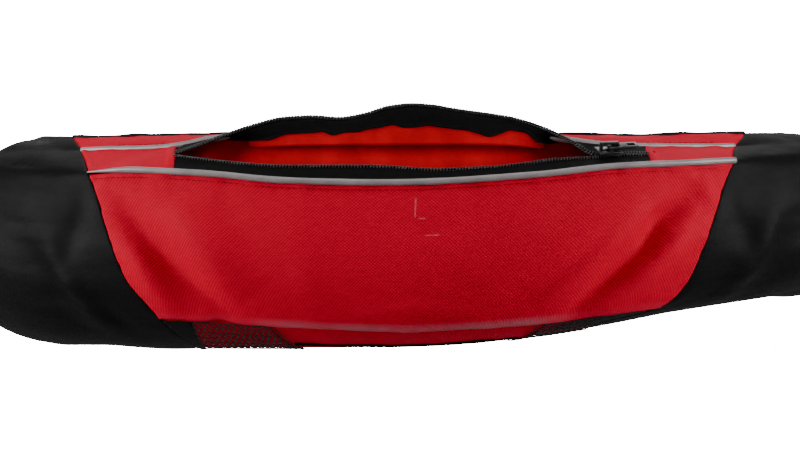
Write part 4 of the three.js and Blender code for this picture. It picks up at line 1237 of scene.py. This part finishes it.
along = steps(zip_from, zip_to - 0.6, 260)
back_teeth, front_teeth = teeth_lines(along)
run, pocket_side = zip_direction(along)
standing = raised_flap(along)[:, None]
start = back_teeth - run * 0.3
edge_wave = Smooth(
    [-106, -66, -56, -51, -45, -40, -35, -30, -24, -19, -13, -8, -3,
     3, 8, 13, 19, 24, 30, 35, 40, 45, 51, 57, 80],
    [1.5, 2.6, 0.4, 0.1, -0.3, -0.6, 1.0, 0.0, -0.2, -1.9, -2.8, -3.7, -2.3,
     -2.7, -3.3, -2.7, -1.7, -1.1, 0.3, 1.8, 0.2, -1.7, -1.0, 2.6, 1.5])
hang = edge_wave(along)[:, None]
corner_rise = 1.7 * (1 - standing) + (0.9 - hang) * standing
corner = ridge(along) + pocket_side * (0.9 * standing + 0.2) + run * corner_rise
end = ridge(along) + pocket_side * (1.3 + 0.5 * ripple(along / 4, 18)[:, None]) - run * hang
rows = []
for t in steps(0, 1, 12):
    bow = pocket_side * standing * (0.4 * np.sin(np.pi * t) * ripple(along / 11, 19)[:, None]
                                    + 1.1 * (float(ease(t, 0, 0.3)) - t))
    rows.append(start + (corner - start) * t + bow)
for t in steps(0, 1, 5)[1:]:
    rows.append(corner + (end - corner) * t)
rows = np.stack(rows, 1)
grid = on_waist(along[:, None], rows)
zip_tape_back = cloth("zip_tape_rear", grid, 0.5)
dress(zip_tape_back, zip_tape_cloth, "zip_tape", "zip_tape_back")

start, end = front_teeth, lip(along)
run = unit(end - start)
start, end = start + run * 0.3, end - run * 1.1 - np.stack([0 * along, 0 * along + 0.2], -1)
rows = np.stack([start + (end - start) * t for t in steps(0, 1, 10)], 1)
rows[..., 1] += 0.25 * ripple(along / 9, 20)[:, None] * np.sin(np.pi * steps(0, 1, 10))
grid = on_waist(along[:, None], rows)
zip_tape_front = cloth("zip_tape_fore", grid, 0.5)
dress(zip_tape_front, zip_tape_cloth, "zip_tape", "zip_tape_front")


# A narrow facing of lining runs up behind the rear tape's loose edge, so red shows under it.
along = steps(-74, 60, 180)
run, pocket_side = zip_direction(along)
standing = raised_flap(along)[:, None]
foot_row = ridge(along) - run * 5.8 + pocket_side * 0.35
teeth_height = np.linalg.norm(teeth_lines(along)[0] - ridge(along), axis=-1, keepdims=True)
head_row = ridge(along) + run * (np.clip(teeth_height - 5.0, 0.2, 4.8) * standing - 0.2) + pocket_side * 0.38
pucker = ripple(along / 5, 23)[:, None]
rows = [foot_row + (head_row - foot_row) * t + pocket_side * 0.25 * np.sin(np.pi * t) * pucker
        for t in steps(0, 1, 8)]
rows = np.stack(rows, 1)
facing = cloth("lining_facing", on_waist(along[:, None], rows), 0.3)
dress(facing, red_lining, "red_lining")


def end_cloth(name, from_edge, to_edge, columns, node):
    """Red cloth between both pipings, from one end to the other, each a function of the row."""
    levels = steps(0, 1, 22)
    between = lambda a, t: ridge(a) + (lip(a) - ridge(a)) * t[:, None]
    first, last = from_edge(levels, between), to_edge(levels, between)
    share = np.linspace(0, 1, columns + 1)[:, None]
    along = first + (last - first) * share
    start, end = ridge(along), lip(along)
    run = end - start
    reach = np.linalg.norm(run, axis=-1, keepdims=True)
    run = run / reach
    away = np.stack([-run[..., 1], run[..., 0]], -1)
    row = (1.2 + (reach[..., 0] - 2.4) * levels)[..., None]
    edge = np.exp(-levels * 9) + np.exp(-(1 - levels) * 9)
    free = np.minimum(np.abs(along - first), np.abs(along - last))
    lift = 0.3 * ripple(along / 3.5, 21) * edge + 0.35 * ripple(along / 9 + 2 * levels, 22)
    lift = lift - 0.5 * np.exp(-free / 1.5)
    lift = lift + 0.35 + 0.5 * np.exp(-((free - 2.4) / 1.3) ** 2)
    from_zip = np.abs(along - (last if node == "zip_end_left" else first))
    lift = lift + 1.1 * np.exp(-(from_zip / 3.0) ** 2) * np.sin(np.pi * levels)
    point = start + run * row + away * lift[..., None]
    made = cloth(name, on_waist(along, point), 0.8)
    return dress(made, red_polyester, "red_cloth", node)


at_seam = lambda side: lambda levels, between: seam_along(
    side, lambda a: between(a, levels), sewn_gap, len(levels))


def upright(x_from, x_to):
    """An edge that is nearly upright from the front: lengths along the waist for each row."""
    def edge(levels, between):
        x = x_from + (x_to - x_from) * levels
        out = 17 + 27 * levels
        return front_radius * np.arcsin(x / (front_radius + out))
    return edge


end_cloth("zip_end_cloth_left", at_seam(-1), upright(-110.2, -110.2), 60, "zip_end_left")
end_cloth("zip_end_cloth_right", upright(109.2, 111.4), at_seam(1), 60, "zip_end_right")

# %% [markdown]
# Each row of teeth is one nylon thread wound in a flattened spiral and sewn to the tape. Modelled
# as one long spiral tube it shows a small tooth at each turn, as the real one does.
# %% Coils
def coil(name, key, phase, node):
    """A flattened spiral along one row of teeth, with a pitch a little over a millimetre."""
    pitch, per_turn = 1.45, 9
    along = steps(zip_from + 0.6, zip_to - 2.4, 600)
    line = teeth_lines(along)[key]
    path = on_waist(along, line)
    length = length_along(path)
    turns = int(length[-1] / MM / pitch)
    at = np.linspace(0, length[-1], turns * per_turn + 1)
    centre = np.stack([np.interp(at, length, path[:, k]) for k in range(3)], -1)
    middle = np.interp(at, length, along)
    pairs = teeth_lines(middle)
    toward = (pairs[1 - key] - pairs[key])
    own, other = waist(middle, *pairs[key].T), waist(middle, *(pairs[key] + unit(toward)).T)
    across = unit(other - own)
    forward_run = unit(np.gradient(centre, axis=0))
    top = unit(np.cross(across, forward_run))
    angle = 2 * np.pi * at / MM / pitch + phase
    lean = 0.22 * np.sin(angle)[:, None] * forward_run
    wound = across * 0.72 * np.cos(angle)[:, None] + top * 0.66 * np.sin(angle)[:, None]
    spiral = centre + MM * (wound + lean)
    made = tube(name, spiral, 0.4, 6)
    core = tube(name + "_core", centre[::4], 0.62, 8)
    made.data.materials.append(coil_nylon)
    core.data.materials.append(zip_tape_cloth)
    joined(made, core)
    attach(made, "pack")
    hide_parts(node)
    print(name, "turns:", turns)
    return made


coil("zip_spiral_back", 0, 0.0, "zip_coil_back")
coil("zip_spiral_front", 1, math.pi, "zip_coil_front")

# %% [markdown]
# Nets cover the ends of the lower panel. A knitted net is two families of slanting strands that
# meet in knots, so thin cords are laid both ways over the cloth, and a border cord closes it.
# %% Nets
def strands_of(paths, radius, sides=5):
    """Thin tubes along several paths, as one list of points and faces."""
    points, faces = [], []
    for path in paths:
        path = np.asarray(path)
        run = unit(np.gradient(path, axis=0))
        side = unit(np.cross(run, np.array([0, 0, 1.0])))
        top = np.cross(side, run)
        turn = np.linspace(0, 2 * np.pi, sides, endpoint=False)[:, None]
        ring = side[:, None] * np.cos(turn) + top[:, None] * np.sin(turn)
        faces.extend(ring_faces(len(path), sides, len(points)))
        points.extend((path[:, None] + ring * radius * MM).reshape(-1, 3))
    return points, faces


def from_front(x, out):
    """Length along the waist of a point whose place across is seen from the front."""
    return front_radius * np.arcsin(x / (front_radius + out))


gusset_top, gusset_foot = -103.8, -98.5


def net_place(side, share, level, lift):
    """Place over the lower panel: share runs from the red middle to the gusset, level down it."""
    share, level = np.atleast_1d(share), np.atleast_1d(level)
    station = 3.03 + 0.92 * level
    inner = red_shift + side * (red_at_fold + (red_at_foot - red_at_fold) * level)
    if side < 0:
        outer = from_front(gusset_top + (gusset_foot - gusset_top) * level, 47 - 25 * level)
    else:
        outer = seam_along(1, lambda a: raised(a, station, np.full(len(level), 0.7)), seam_gap, len(level))
    along = inner + (outer - inner) * share
    point = raised(along, station, np.broadcast_to(lift, along.shape))
    return on_waist(along, point)


def make_net(name, side, node, columns, rows):
    paths = []
    for way in (1, -1):
        for start in np.arange(-rows, columns + rows + 1):
            t = np.linspace(0, 1, rows * 4 + 1)
            s = (start + way * rows * t) / columns
            inside = (s >= -1e-6) & (s <= 1 + 1e-6)
            if inside.sum() > 1:
                knot = 0.34 + 0.14 * way * np.cos(np.pi * 4 * rows * t[inside] / 2)
                paths.append(net_place(side, s[inside], t[inside], knot))
    for edge in (0.0, 1.0):
        t = np.linspace(0, 1, 40)
        paths.append(net_place(side, t, np.full(40, edge), np.full(40, 0.36)))
        paths.append(net_place(side, np.full(20, edge), np.linspace(0, 1, 20), np.full(20, 0.36)))
    points, faces = strands_of(paths, 0.25)
    made = new_piece(name, points, faces)
    dress(made, black_netting, "black_net", node)
    share, level = np.meshgrid(np.linspace(0, 1, 20), np.linspace(0, 1, 8), indexing="ij")
    cells = net_place(side, share.ravel(), level.ravel(), 0.5).reshape(20, 8, 3)
    length = float(np.linalg.norm(np.diff(cells, axis=0), axis=-1).sum(0).max())
    width = float(np.linalg.norm(np.diff(cells, axis=1), axis=-1).sum(1).max())
    print(name, "strands:", len(paths), "cut, mm:", round(width / MM), "x", round(length / MM))
    return made


make_net("net_knitted_left", -1, "net_left", 14, 6)
make_net("net_knitted_right", 1, "net_right", 11, 6)

# %% Gusset beside the left net
# Plain black cloth runs on under the bag from the left cuff, as far as the net's edge.
levels = steps(0, 1, 14)
station = 3.03 + 0.93 * levels
inner = from_front(gusset_top + (gusset_foot - gusset_top) * levels, 47 - 25 * levels)
outer = seam_along(-1, lambda a: raised(a, station, np.full(15, 0.7)), seam_gap, 15)
share = np.linspace(0, 1, 17)[:, None]
along = outer + (inner - outer) * share
lift = 0.85 + 0.12 * ripple(along / 3.5 + 3 * levels, 24)
point = raised(along, np.broadcast_to(station, along.shape), lift)
gusset_left = cloth("gusset_left", on_waist(along, point), 0.5)
dress(gusset_left, black_polyester, "black_cloth", "net_left")

# %% [markdown]
# The webbing is a woven nylon band. It is laid along the same route as its solid: out of the
# cuff, round the buckle's bar and back along itself.
# %% Webbing
strap_width, strap_thick, strap_sewn = 38, 2, 20
buckle_length, buckle_width, buckle_thick, body_length = 64, 48, 12, 40
frame_thick, bar_width = 4, 4
bar_along = half_waist - buckle_length / 2 + bar_width / 2
loop_radius = math.hypot(bar_width, frame_thick) / 2 + gap + strap_thick / 2
bar_out = strap_out + loop_radius
layer_out = strap_out + strap_thick + 2 * gap


def webbing(name, side, tail, node):
    straight = [(a, strap_out) for a in np.linspace(half_length - strap_sewn, bar_along, 60)]
    bend = [(bar_along + loop_radius * math.cos(t), bar_out + loop_radius * math.sin(t))
            for t in np.linspace(-math.pi / 2, math.pi / 2, 20)[1:]]
    drop = 4 * loop_radius
    bend_out = bar_out + loop_radius
    slope = [(bar_along - drop * t, bend_out + (layer_out - bend_out) * (3 * t * t - 2 * t ** 3))
             for t in np.linspace(0, 1, 14)[1:]]
    back = [(a, layer_out) for a in np.linspace(bar_along - drop, bar_along - tail, 40)[1:]]
    route = np.array(straight + bend + slope + back)
    centre = waist(side * route[:, 0], route[:, 1], strap_up)
    run = np.gradient(centre, axis=0)
    away = unit(np.stack([-run[:, 1], run[:, 0], 0 * run[:, 0]], -1))
    across = np.linspace(-0.5, 0.5, 39)
    rib = 0.86 + 0.07 * np.cos(across * 2 * np.pi * 12) - 0.5 * np.abs(2 * across) ** 14
    face = np.stack([across * strap_width, rib], -1)
    loop = np.concatenate([face, (face * (1, -1))[::-1]])
    offset = away[:, None] * loop[:, 1][:, None] + np.array([0, 0, 1.0]) * loop[:, 0][:, None]
    points = centre[:, None] + MM * offset
    count, sides = len(route), len(loop)
    faces = ring_faces(count, sides, caps=False)
    for k in range(len(across) - 1):
        last = (count - 1) * sides
        faces.append((k, k + 1, sides - k - 2, sides - k - 1))
        faces.append((last + sides - k - 1, last + sides - k - 2, last + k + 1, last + k))
    length = length_along(centre)
    uv = np.stack(np.meshgrid(length, loop[:, 0] * MM, indexing="ij"), -1).reshape(-1, 2)
    made = new_piece(name, points.reshape(-1, 3), faces, uv)
    weld(made)
    return dress(made, webbing_nylon, "webbing", node)


webbing("strap_left", -1, 45, "strap_left")
webbing("strap_right", 1, 110, "strap_right")

# %% [markdown]
# Every seam is closed by a lockstitch, which shows as a row of short dashes that sink in at both
# ends. A stitch is modelled once, as a small spindle, and repeated along each line at the real
# pitch of about eight stitches to 25 mm.
# %% Stitches
def stitch_row(path, pitch=3.0, dash=2.2, radius=0.24):
    """Points and faces of a row of stitches along points in metres."""
    path = np.asarray(path, float)
    length = length_along(path) / MM
    count = int(length[-1] / pitch)
    place = lambda at: np.stack([np.interp(at, length, path[:, k]) for k in range(3)], -1)
    points, faces = [], []
    for k in range(count):
        at = (k + 0.5) * pitch + np.array([-0.5, -0.25, 0.25, 0.5]) * dash
        centre = place(at)
        run = unit(centre[-1] - centre[0])
        side = unit(np.cross(run, [0.1, 0.2, 1.0]))
        top = np.cross(side, run)
        faces.extend(ring_faces(4, 5, len(points)))
        for ring, wide in zip(centre, (0.35, 1.0, 1.0, 0.35)):
            for turn in np.arange(5) * 2 * np.pi / 5:
                points.append(ring + (side * math.cos(turn) + top * math.sin(turn)) * radius * wide * MM)
    return points, faces


def sewn(name, material, slot, *paths, **sizes):
    """One piece with all the rows of stitches of a seam."""
    points, faces = [], []
    for path in paths:
        more, sides = stitch_row(path, **sizes)
        faces.extend(tuple(v + len(points) for v in face) for face in sides)
        points.extend(more)
    made = new_piece(name, points, faces)
    weld(made)
    print(name, "stitches:", len(faces) // 17)
    return dress(made, material, slot)


def on_shell(from_along, to_along, station, lift, count=160):
    """A line on the bag's outside at one station."""
    along = np.linspace(from_along, to_along, count)
    point = raised(along, np.full(count, station), np.full(count, lift))
    return on_waist(along, point)


sewn("stitches_front", red_thread, "red_cloth", on_shell(-134, 130, 2.05, 0.36), radius=0.18)
sewn("stitches_top", red_thread, "red_cloth", on_shell(-140, -84, 0.8, 0.25), on_shell(66, 146, 0.8, 0.25))
level = np.linspace(0, 1, 40)
sewn("stitches_nets", black_thread, "black_net",
     *[net_place(side, np.full(40, -beyond / 45), level, 0.75) for side in (-1, 1) for beyond in (0.4, 3.0)],
     pitch=2.2, dash=2.1, radius=0.3)
sewn("stitches_back", black_thread, "black_cloth",
     on_shell(-96, 66, 5.06, 0.12, 240), on_shell(-146, 146, 5.93, 0.12, 240),
     on_shell(-128, 118, 5.35, 0.02, 240), on_shell(-140, 138, 5.65, 0.02, 240))


def box_stitch(side, from_along, to_along, out, half_up):
    """A sewn rectangle with a cross in it, on a band."""
    a, b, c = from_along, to_along, half_up
    route = [(a, -c), (b, -c), (b, c), (a, c), (a, -c), (b, c), (b, -c), (a, c)]
    line = []
    for (a0, c0), (a1, c1) in zip(route[:-1], route[1:]):
        t = np.linspace(0, 1, 12)[:-1]
        line.append(waist(side * (a0 + (a1 - a0) * t), out, strap_up + c0 + (c1 - c0) * t))
    return np.concatenate(line)


tail_out = layer_out + strap_thick / 2 + 0.05
sewn("stitches_webbing", black_thread, "webbing",
     box_stitch(-1, bar_along - 41, bar_along - 12, tail_out, 14),
     box_stitch(1, bar_along - 107, bar_along - 103, tail_out, 15))

# %% [markdown]
# The slider is a small die casting: two plates with turned-in rims, a wedge between them at the
# open end, and a crown on top that holds the pull. It is modelled lying flat in millimetres, with
# the zip along x, from primitives that are cut and rounded, and is then set on the zip.
# %% Small tools for rigid pieces
def block(name, size, place=(0, 0, 0)):
    """A cube primitive at its size and place, in millimetres."""
    bpy.ops.object.select_all(action="DESELECT")
    bpy.ops.mesh.primitive_cube_add(size=1, location=place)
    made = bpy.context.object
    made.name = name
    made.scale = size
    bpy.ops.object.transform_apply(location=True, rotation=False, scale=True)
    return made


def rounded(made, width, segments=3, angle=30):
    """Rounds the edges that turn by more than an angle."""
    bevel = made.modifiers.new("round", "BEVEL")
    bevel.width = width
    bevel.segments = segments
    bevel.limit_method = "ANGLE"
    bevel.angle_limit = math.radians(angle)
    apply_modifiers(made)
    return made


def cut(made, tool, operation="DIFFERENCE"):
    """Cuts a piece with a tool, or joins them, and removes the tool."""
    boolean = made.modifiers.new("cut", "BOOLEAN")
    boolean.operation = operation
    boolean.solver = "EXACT"
    boolean.object = tool
    apply_modifiers(made)
    bpy.data.objects.remove(tool, do_unlink=True)
    return made


def finished(made, name, angle=40):
    """Names a piece and shades it smooth, apart from edges that turn by more than an angle."""
    made.name = name
    made.data.shade_smooth()
    bpy.ops.object.shade_smooth_by_angle(angle=math.radians(angle))


def narrowed(made, at_tail, at_nose, length):
    """Narrows a piece toward +x, as a trapezoid."""
    for vertex in made.data.vertices:
        share = min(max(vertex.co.x / length + 0.5, 0), 1)
        vertex.co.y *= at_nose + (at_tail - at_nose) * share
    return made


# %% Slider
slider_length, slider_nose, slider_tail = 11.5, 9, 7
plate_thick, slider_clear, wedge_width = 1.3, 0.5, 1
crown_length, crown_width, crown_height, crown_wall = 9, 2, 3.8, 1.2
plate_under = coil_radius + slider_clear
plate_top = plate_under + plate_thick
slider_along = zip_to - 23

back_row, front_row = [row[0] for row in teeth_lines(np.array([slider_along]))]
middle = (back_row + front_row) / 2
centre = waist(slider_along, middle[0], middle[1])
down_run = unit(lip(np.array([slider_along]))[0] - ridge(np.array([slider_along]))[0])
axis_x = unit(waist(slider_along + 1, 0, 0) - waist(slider_along - 1, 0, 0))
axis_y = -unit(waist(slider_along, *down_run) - waist(slider_along, 0, 0))
axis_z = unit(np.cross(axis_x, axis_y))


def on_zip(made, height=0.0):
    """Sets a piece that was modelled flat, in millimetres, on the zip, with its place in its mesh."""
    turn = Matrix([(*[float(a[k] * MM) for a in (axis_x, axis_y, axis_z)],
                    float(centre[k] + axis_z[k] * height * MM)) for k in range(3)] + [(0, 0, 0, 1)])
    made.data.transform(turn)
    made.data.update()
    return made


plates = []
for sign in (1, -1):
    level = sign * (plate_under + plate_thick / 2)
    plate = block("plate", (slider_length, slider_nose, plate_thick), (0, 0, level))
    narrowed(plate, slider_tail / slider_nose, 1.0, slider_length)
    rounded(plate, 0.45, 3)
    for side in (1, -1):
        rim = block("rim", (slider_length * 0.8, 0.7, 0.75),
                    (0.5, side * (slider_nose / 2 - 0.75), sign * (plate_under - 0.25)))
        rim.data.transform(Matrix.Rotation(-side * math.atan(1 / slider_length), 4, "Z"))
        rounded(rim, 0.22, 2)
        plates.append(rim)
    plates.append(plate)
wedge = block("wedge", (1.5, wedge_width, 2 * plate_top - plate_thick), ((1.5 - slider_length) / 2, 0, 0))
rounded(wedge, 0.3, 2)
ridge_bar = block("ridge_bar", (slider_length * 0.7, 2.6, 0.5), (0.3, 0, plate_top + 0.1))
rounded(ridge_bar, 0.2, 2)
crown = block("crown", (crown_length, crown_width, crown_height + 0.4),
              (0, 0, plate_top + (crown_height - 0.4) / 2))
window = block("window", (crown_length - 2 * crown_wall, 2 * crown_width, crown_height - crown_wall),
               (0, 0, plate_top + (crown_height - crown_wall) / 2))
cut(crown, window)
rounded(crown, 0.5, 4)
zip_slider = joined(plates[0], *plates[1:], wedge, ridge_bar, crown)
finished(zip_slider, "zip_slider_detailed")
on_zip(zip_slider)
dress(zip_slider, black_zinc, "zip_metal", "zip_slider")
print("slider triangles:", sum(len(p.vertices) - 2 for p in zip_slider.data.polygons))

# %% [markdown]
# The pull is a flat stamped tab. Its end bar turns in the crown's window, and the long hole near
# its free end is for a cord. It rides on its own body, because it swings on the crown.
# %% Pull
pull_length, pull_width, pull_thick, pull_hole = 14, 6.4, 1.4, 4
bar_half = pull_thick / 2
hinge_height = plate_top + bar_half * math.sqrt(2) + gap
window_half = crown_width / 2 + gap + 0.1
window_end = math.hypot(crown_length / 2, crown_height - (hinge_height - plate_top)) + gap
tab = block("tab", (pull_length + bar_half, pull_width, pull_thick), ((pull_length - bar_half) / 2, 0, 0))
for vertex in tab.data.vertices:
    if vertex.co.x > 0:
        vertex.co.y *= 0.94
rounded(tab, 0.3, 2)
cut(tab, block("hole", (window_end - bar_half, 2 * window_half, 4), ((window_end + bar_half) / 2, 0, 0)))
hole = block("hole", (pull_hole, 2 * window_half, 4), (pull_length - crown_wall - pull_hole / 2, 0, 0))
cut(tab, rounded(hole, 0.5, 3))
grips = []
for k in range(3):
    x = window_end + 0.9 + k * 0.95
    for level in (pull_thick / 2, -pull_thick / 2):
        bar = block("grip", (0.42, pull_width * 0.72, 0.26), (x, 0, level))
        grips.append(rounded(bar, 0.1, 2))
zip_pull = joined(tab, *grips)
finished(zip_pull, "zip_pull_detailed")
on_zip(zip_pull, hinge_height)
dress(zip_pull, black_zinc, "zip_metal", "zip_pull", body="pull")

# %% [markdown]
# The buckle at the back is a side-release buckle: a hollow body, and a tongue with two springy
# side arms whose grips stand in the notches. It is modelled flat and then bent to the waist.
# %% Buckle
def bent_to_back(made, out):
    """Bends a flat piece, in millimetres, to the back of the waist: x across, y outward, z up."""
    for vertex in made.data.vertices:
        turn = vertex.co.x / back_radius
        reach = back_radius + out + vertex.co.y
        vertex.co = Vector((reach * math.sin(turn), back_centre[1] + reach * math.cos(turn),
                            strap_up + vertex.co.z)) * MM
    made.data.update()
    return made


def sliced(made, step):
    """Cuts a flat piece into slices along x, so that it can bend."""
    select_only(made)
    xs = [v.co.x for v in made.data.vertices]
    bpy.ops.object.mode_set(mode="EDIT")
    for x in np.arange(min(xs) + step, max(xs), step):
        bpy.ops.mesh.select_all(action="SELECT")
        bpy.ops.mesh.bisect(plane_co=(float(x), 0, 0), plane_no=(1, 0, 0))
    bpy.ops.object.mode_set(mode="OBJECT")
    return made


frame_half = buckle_length / 2
slot_from, slot_to = body_length / 2 + gap, buckle_length / 2 - bar_width
slot_width = strap_width + 4 * gap
body = block("body", (23, buckle_thick, buckle_width), (-body_length / 2 + 11.5, 0, 0))
cut(body, block("mouth", (20, buckle_thick - 4.2, buckle_width - 12), (-body_length / 2 + 14.5, 0, 0)))
for side in (1, -1):
    cut(body, block("notch", (14, 2 * buckle_thick, 5), (-2, 0, side * buckle_width / 2)))
rounded(body, 1.1, 3)
panel_line = block("panel_line", (9, 0.7, 20), (-10, buckle_thick / 2, 0))
rounded(panel_line, 0.3, 2)
tongue = block("tongue", (16.4, buckle_thick, buckle_width), (body_length / 2 - 8.2, 0, 0))
cut(tongue, block("recess", (7, 2 * buckle_thick, buckle_width - 22), (body_length / 2 - 14.8, 0, 0)))
for side in (1, -1):
    cut(tongue, block("notch", (12, 2 * buckle_thick, 5), (4, 0, side * buckle_width / 2)))
rounded(tongue, 1.1, 3)
core = block("core", (10, buckle_thick - 5, buckle_width - 24), (3.5, 0, 0))
rounded(core, 0.8, 2)
arms = []
for side in (1, -1):
    arm = block("arm", (17, buckle_thick - 5.4, 4.2), (1.5, 0, side * (buckle_width / 2 - 8)))
    arms.append(rounded(arm, 0.8, 2))
    grip = block("grip", (11, buckle_thick - 3.4, 3.4), (0.4, 0, side * (buckle_width / 2 - 4.4)))
    arms.append(rounded(grip, 0.9, 3))
    for k in range(4):
        rib = block("rib", (0.7, buckle_thick - 5.2, 0.5),
                    (-2.6 + 2 * k, 0, side * (buckle_width / 2 - 2.65)))
        arms.append(rounded(rib, 0.18, 2))
bars = []
for side in (1, -1):
    end = block("end", (frame_half - body_length / 2 + 1.5, frame_thick, buckle_width),
                (side * (frame_half + body_length / 2 - 1.5) / 2, 0, 0))
    slot_middle = side * (slot_from + slot_to) / 2
    cut(end, block("slot", (slot_to - slot_from, 3 * frame_thick, slot_width), (slot_middle, 0, 0)))
    bars.append(rounded(end, 0.9, 3))
buckle = joined(body, tongue, core, panel_line, *arms, *bars)
sliced(buckle, 4)
bent_to_back(buckle, bar_out)
finished(buckle, "buckle_detailed", 35)
dress(buckle, buckle_acetal, "buckle_plastic", "buckle")
print("buckle triangles:", sum(len(p.vertices) - 2 for p in buckle.data.polygons))

# %% [markdown]
# A band of elastic keeps the long end of the webbing against the strap. It is knitted rubber, so
# it is ribbed across and pulls in a little at its edges.
# %% Elastic keeper
keeper_along = bar_along - 95
inner_half = (layer_out - strap_out + strap_thick + 2 * gap) / 2
keeper_middle = (strap_out + layer_out) / 2
ring = []
for k in range(64):
    turn = 2 * math.pi * k / 64
    c, s = math.cos(turn), math.sin(turn)
    ring.append((math.copysign(abs(c) ** 0.35, c), math.copysign(abs(s) ** 0.35, s)))
ring = np.array(ring)
across = steps(-6, 6, 30)
bands = []
for offset in (0.15, 1.15):
    drawn_in = 0.25 * (np.abs(across) / 6) ** 8 * (offset > 1)
    swell = offset + 0.12 * np.cos(across * 2 * np.pi / 1.6) - drawn_in
    out = keeper_middle + ring[:, 0] * (inner_half + swell[:, None])
    up = strap_up + ring[:, 1] * (strap_width / 2 + gap + swell[:, None])
    bands.append(waist(keeper_along + across[:, None], out, up))
inner, outer = bands
loop = np.concatenate([outer, inner[::-1], outer[:1]], 0)
loop = np.concatenate([loop, loop[:, :1]], 1)
strap_keeper = new_piece("strap_keeper_elastic", loop.reshape(-1, 3),
                         grid_faces(loop.shape[0] - 1, loop.shape[1] - 1), flat_map(loop).reshape(-1, 2))
weld(strap_keeper)
dress(strap_keeper, webbing_nylon, "webbing", "strap_keeper")
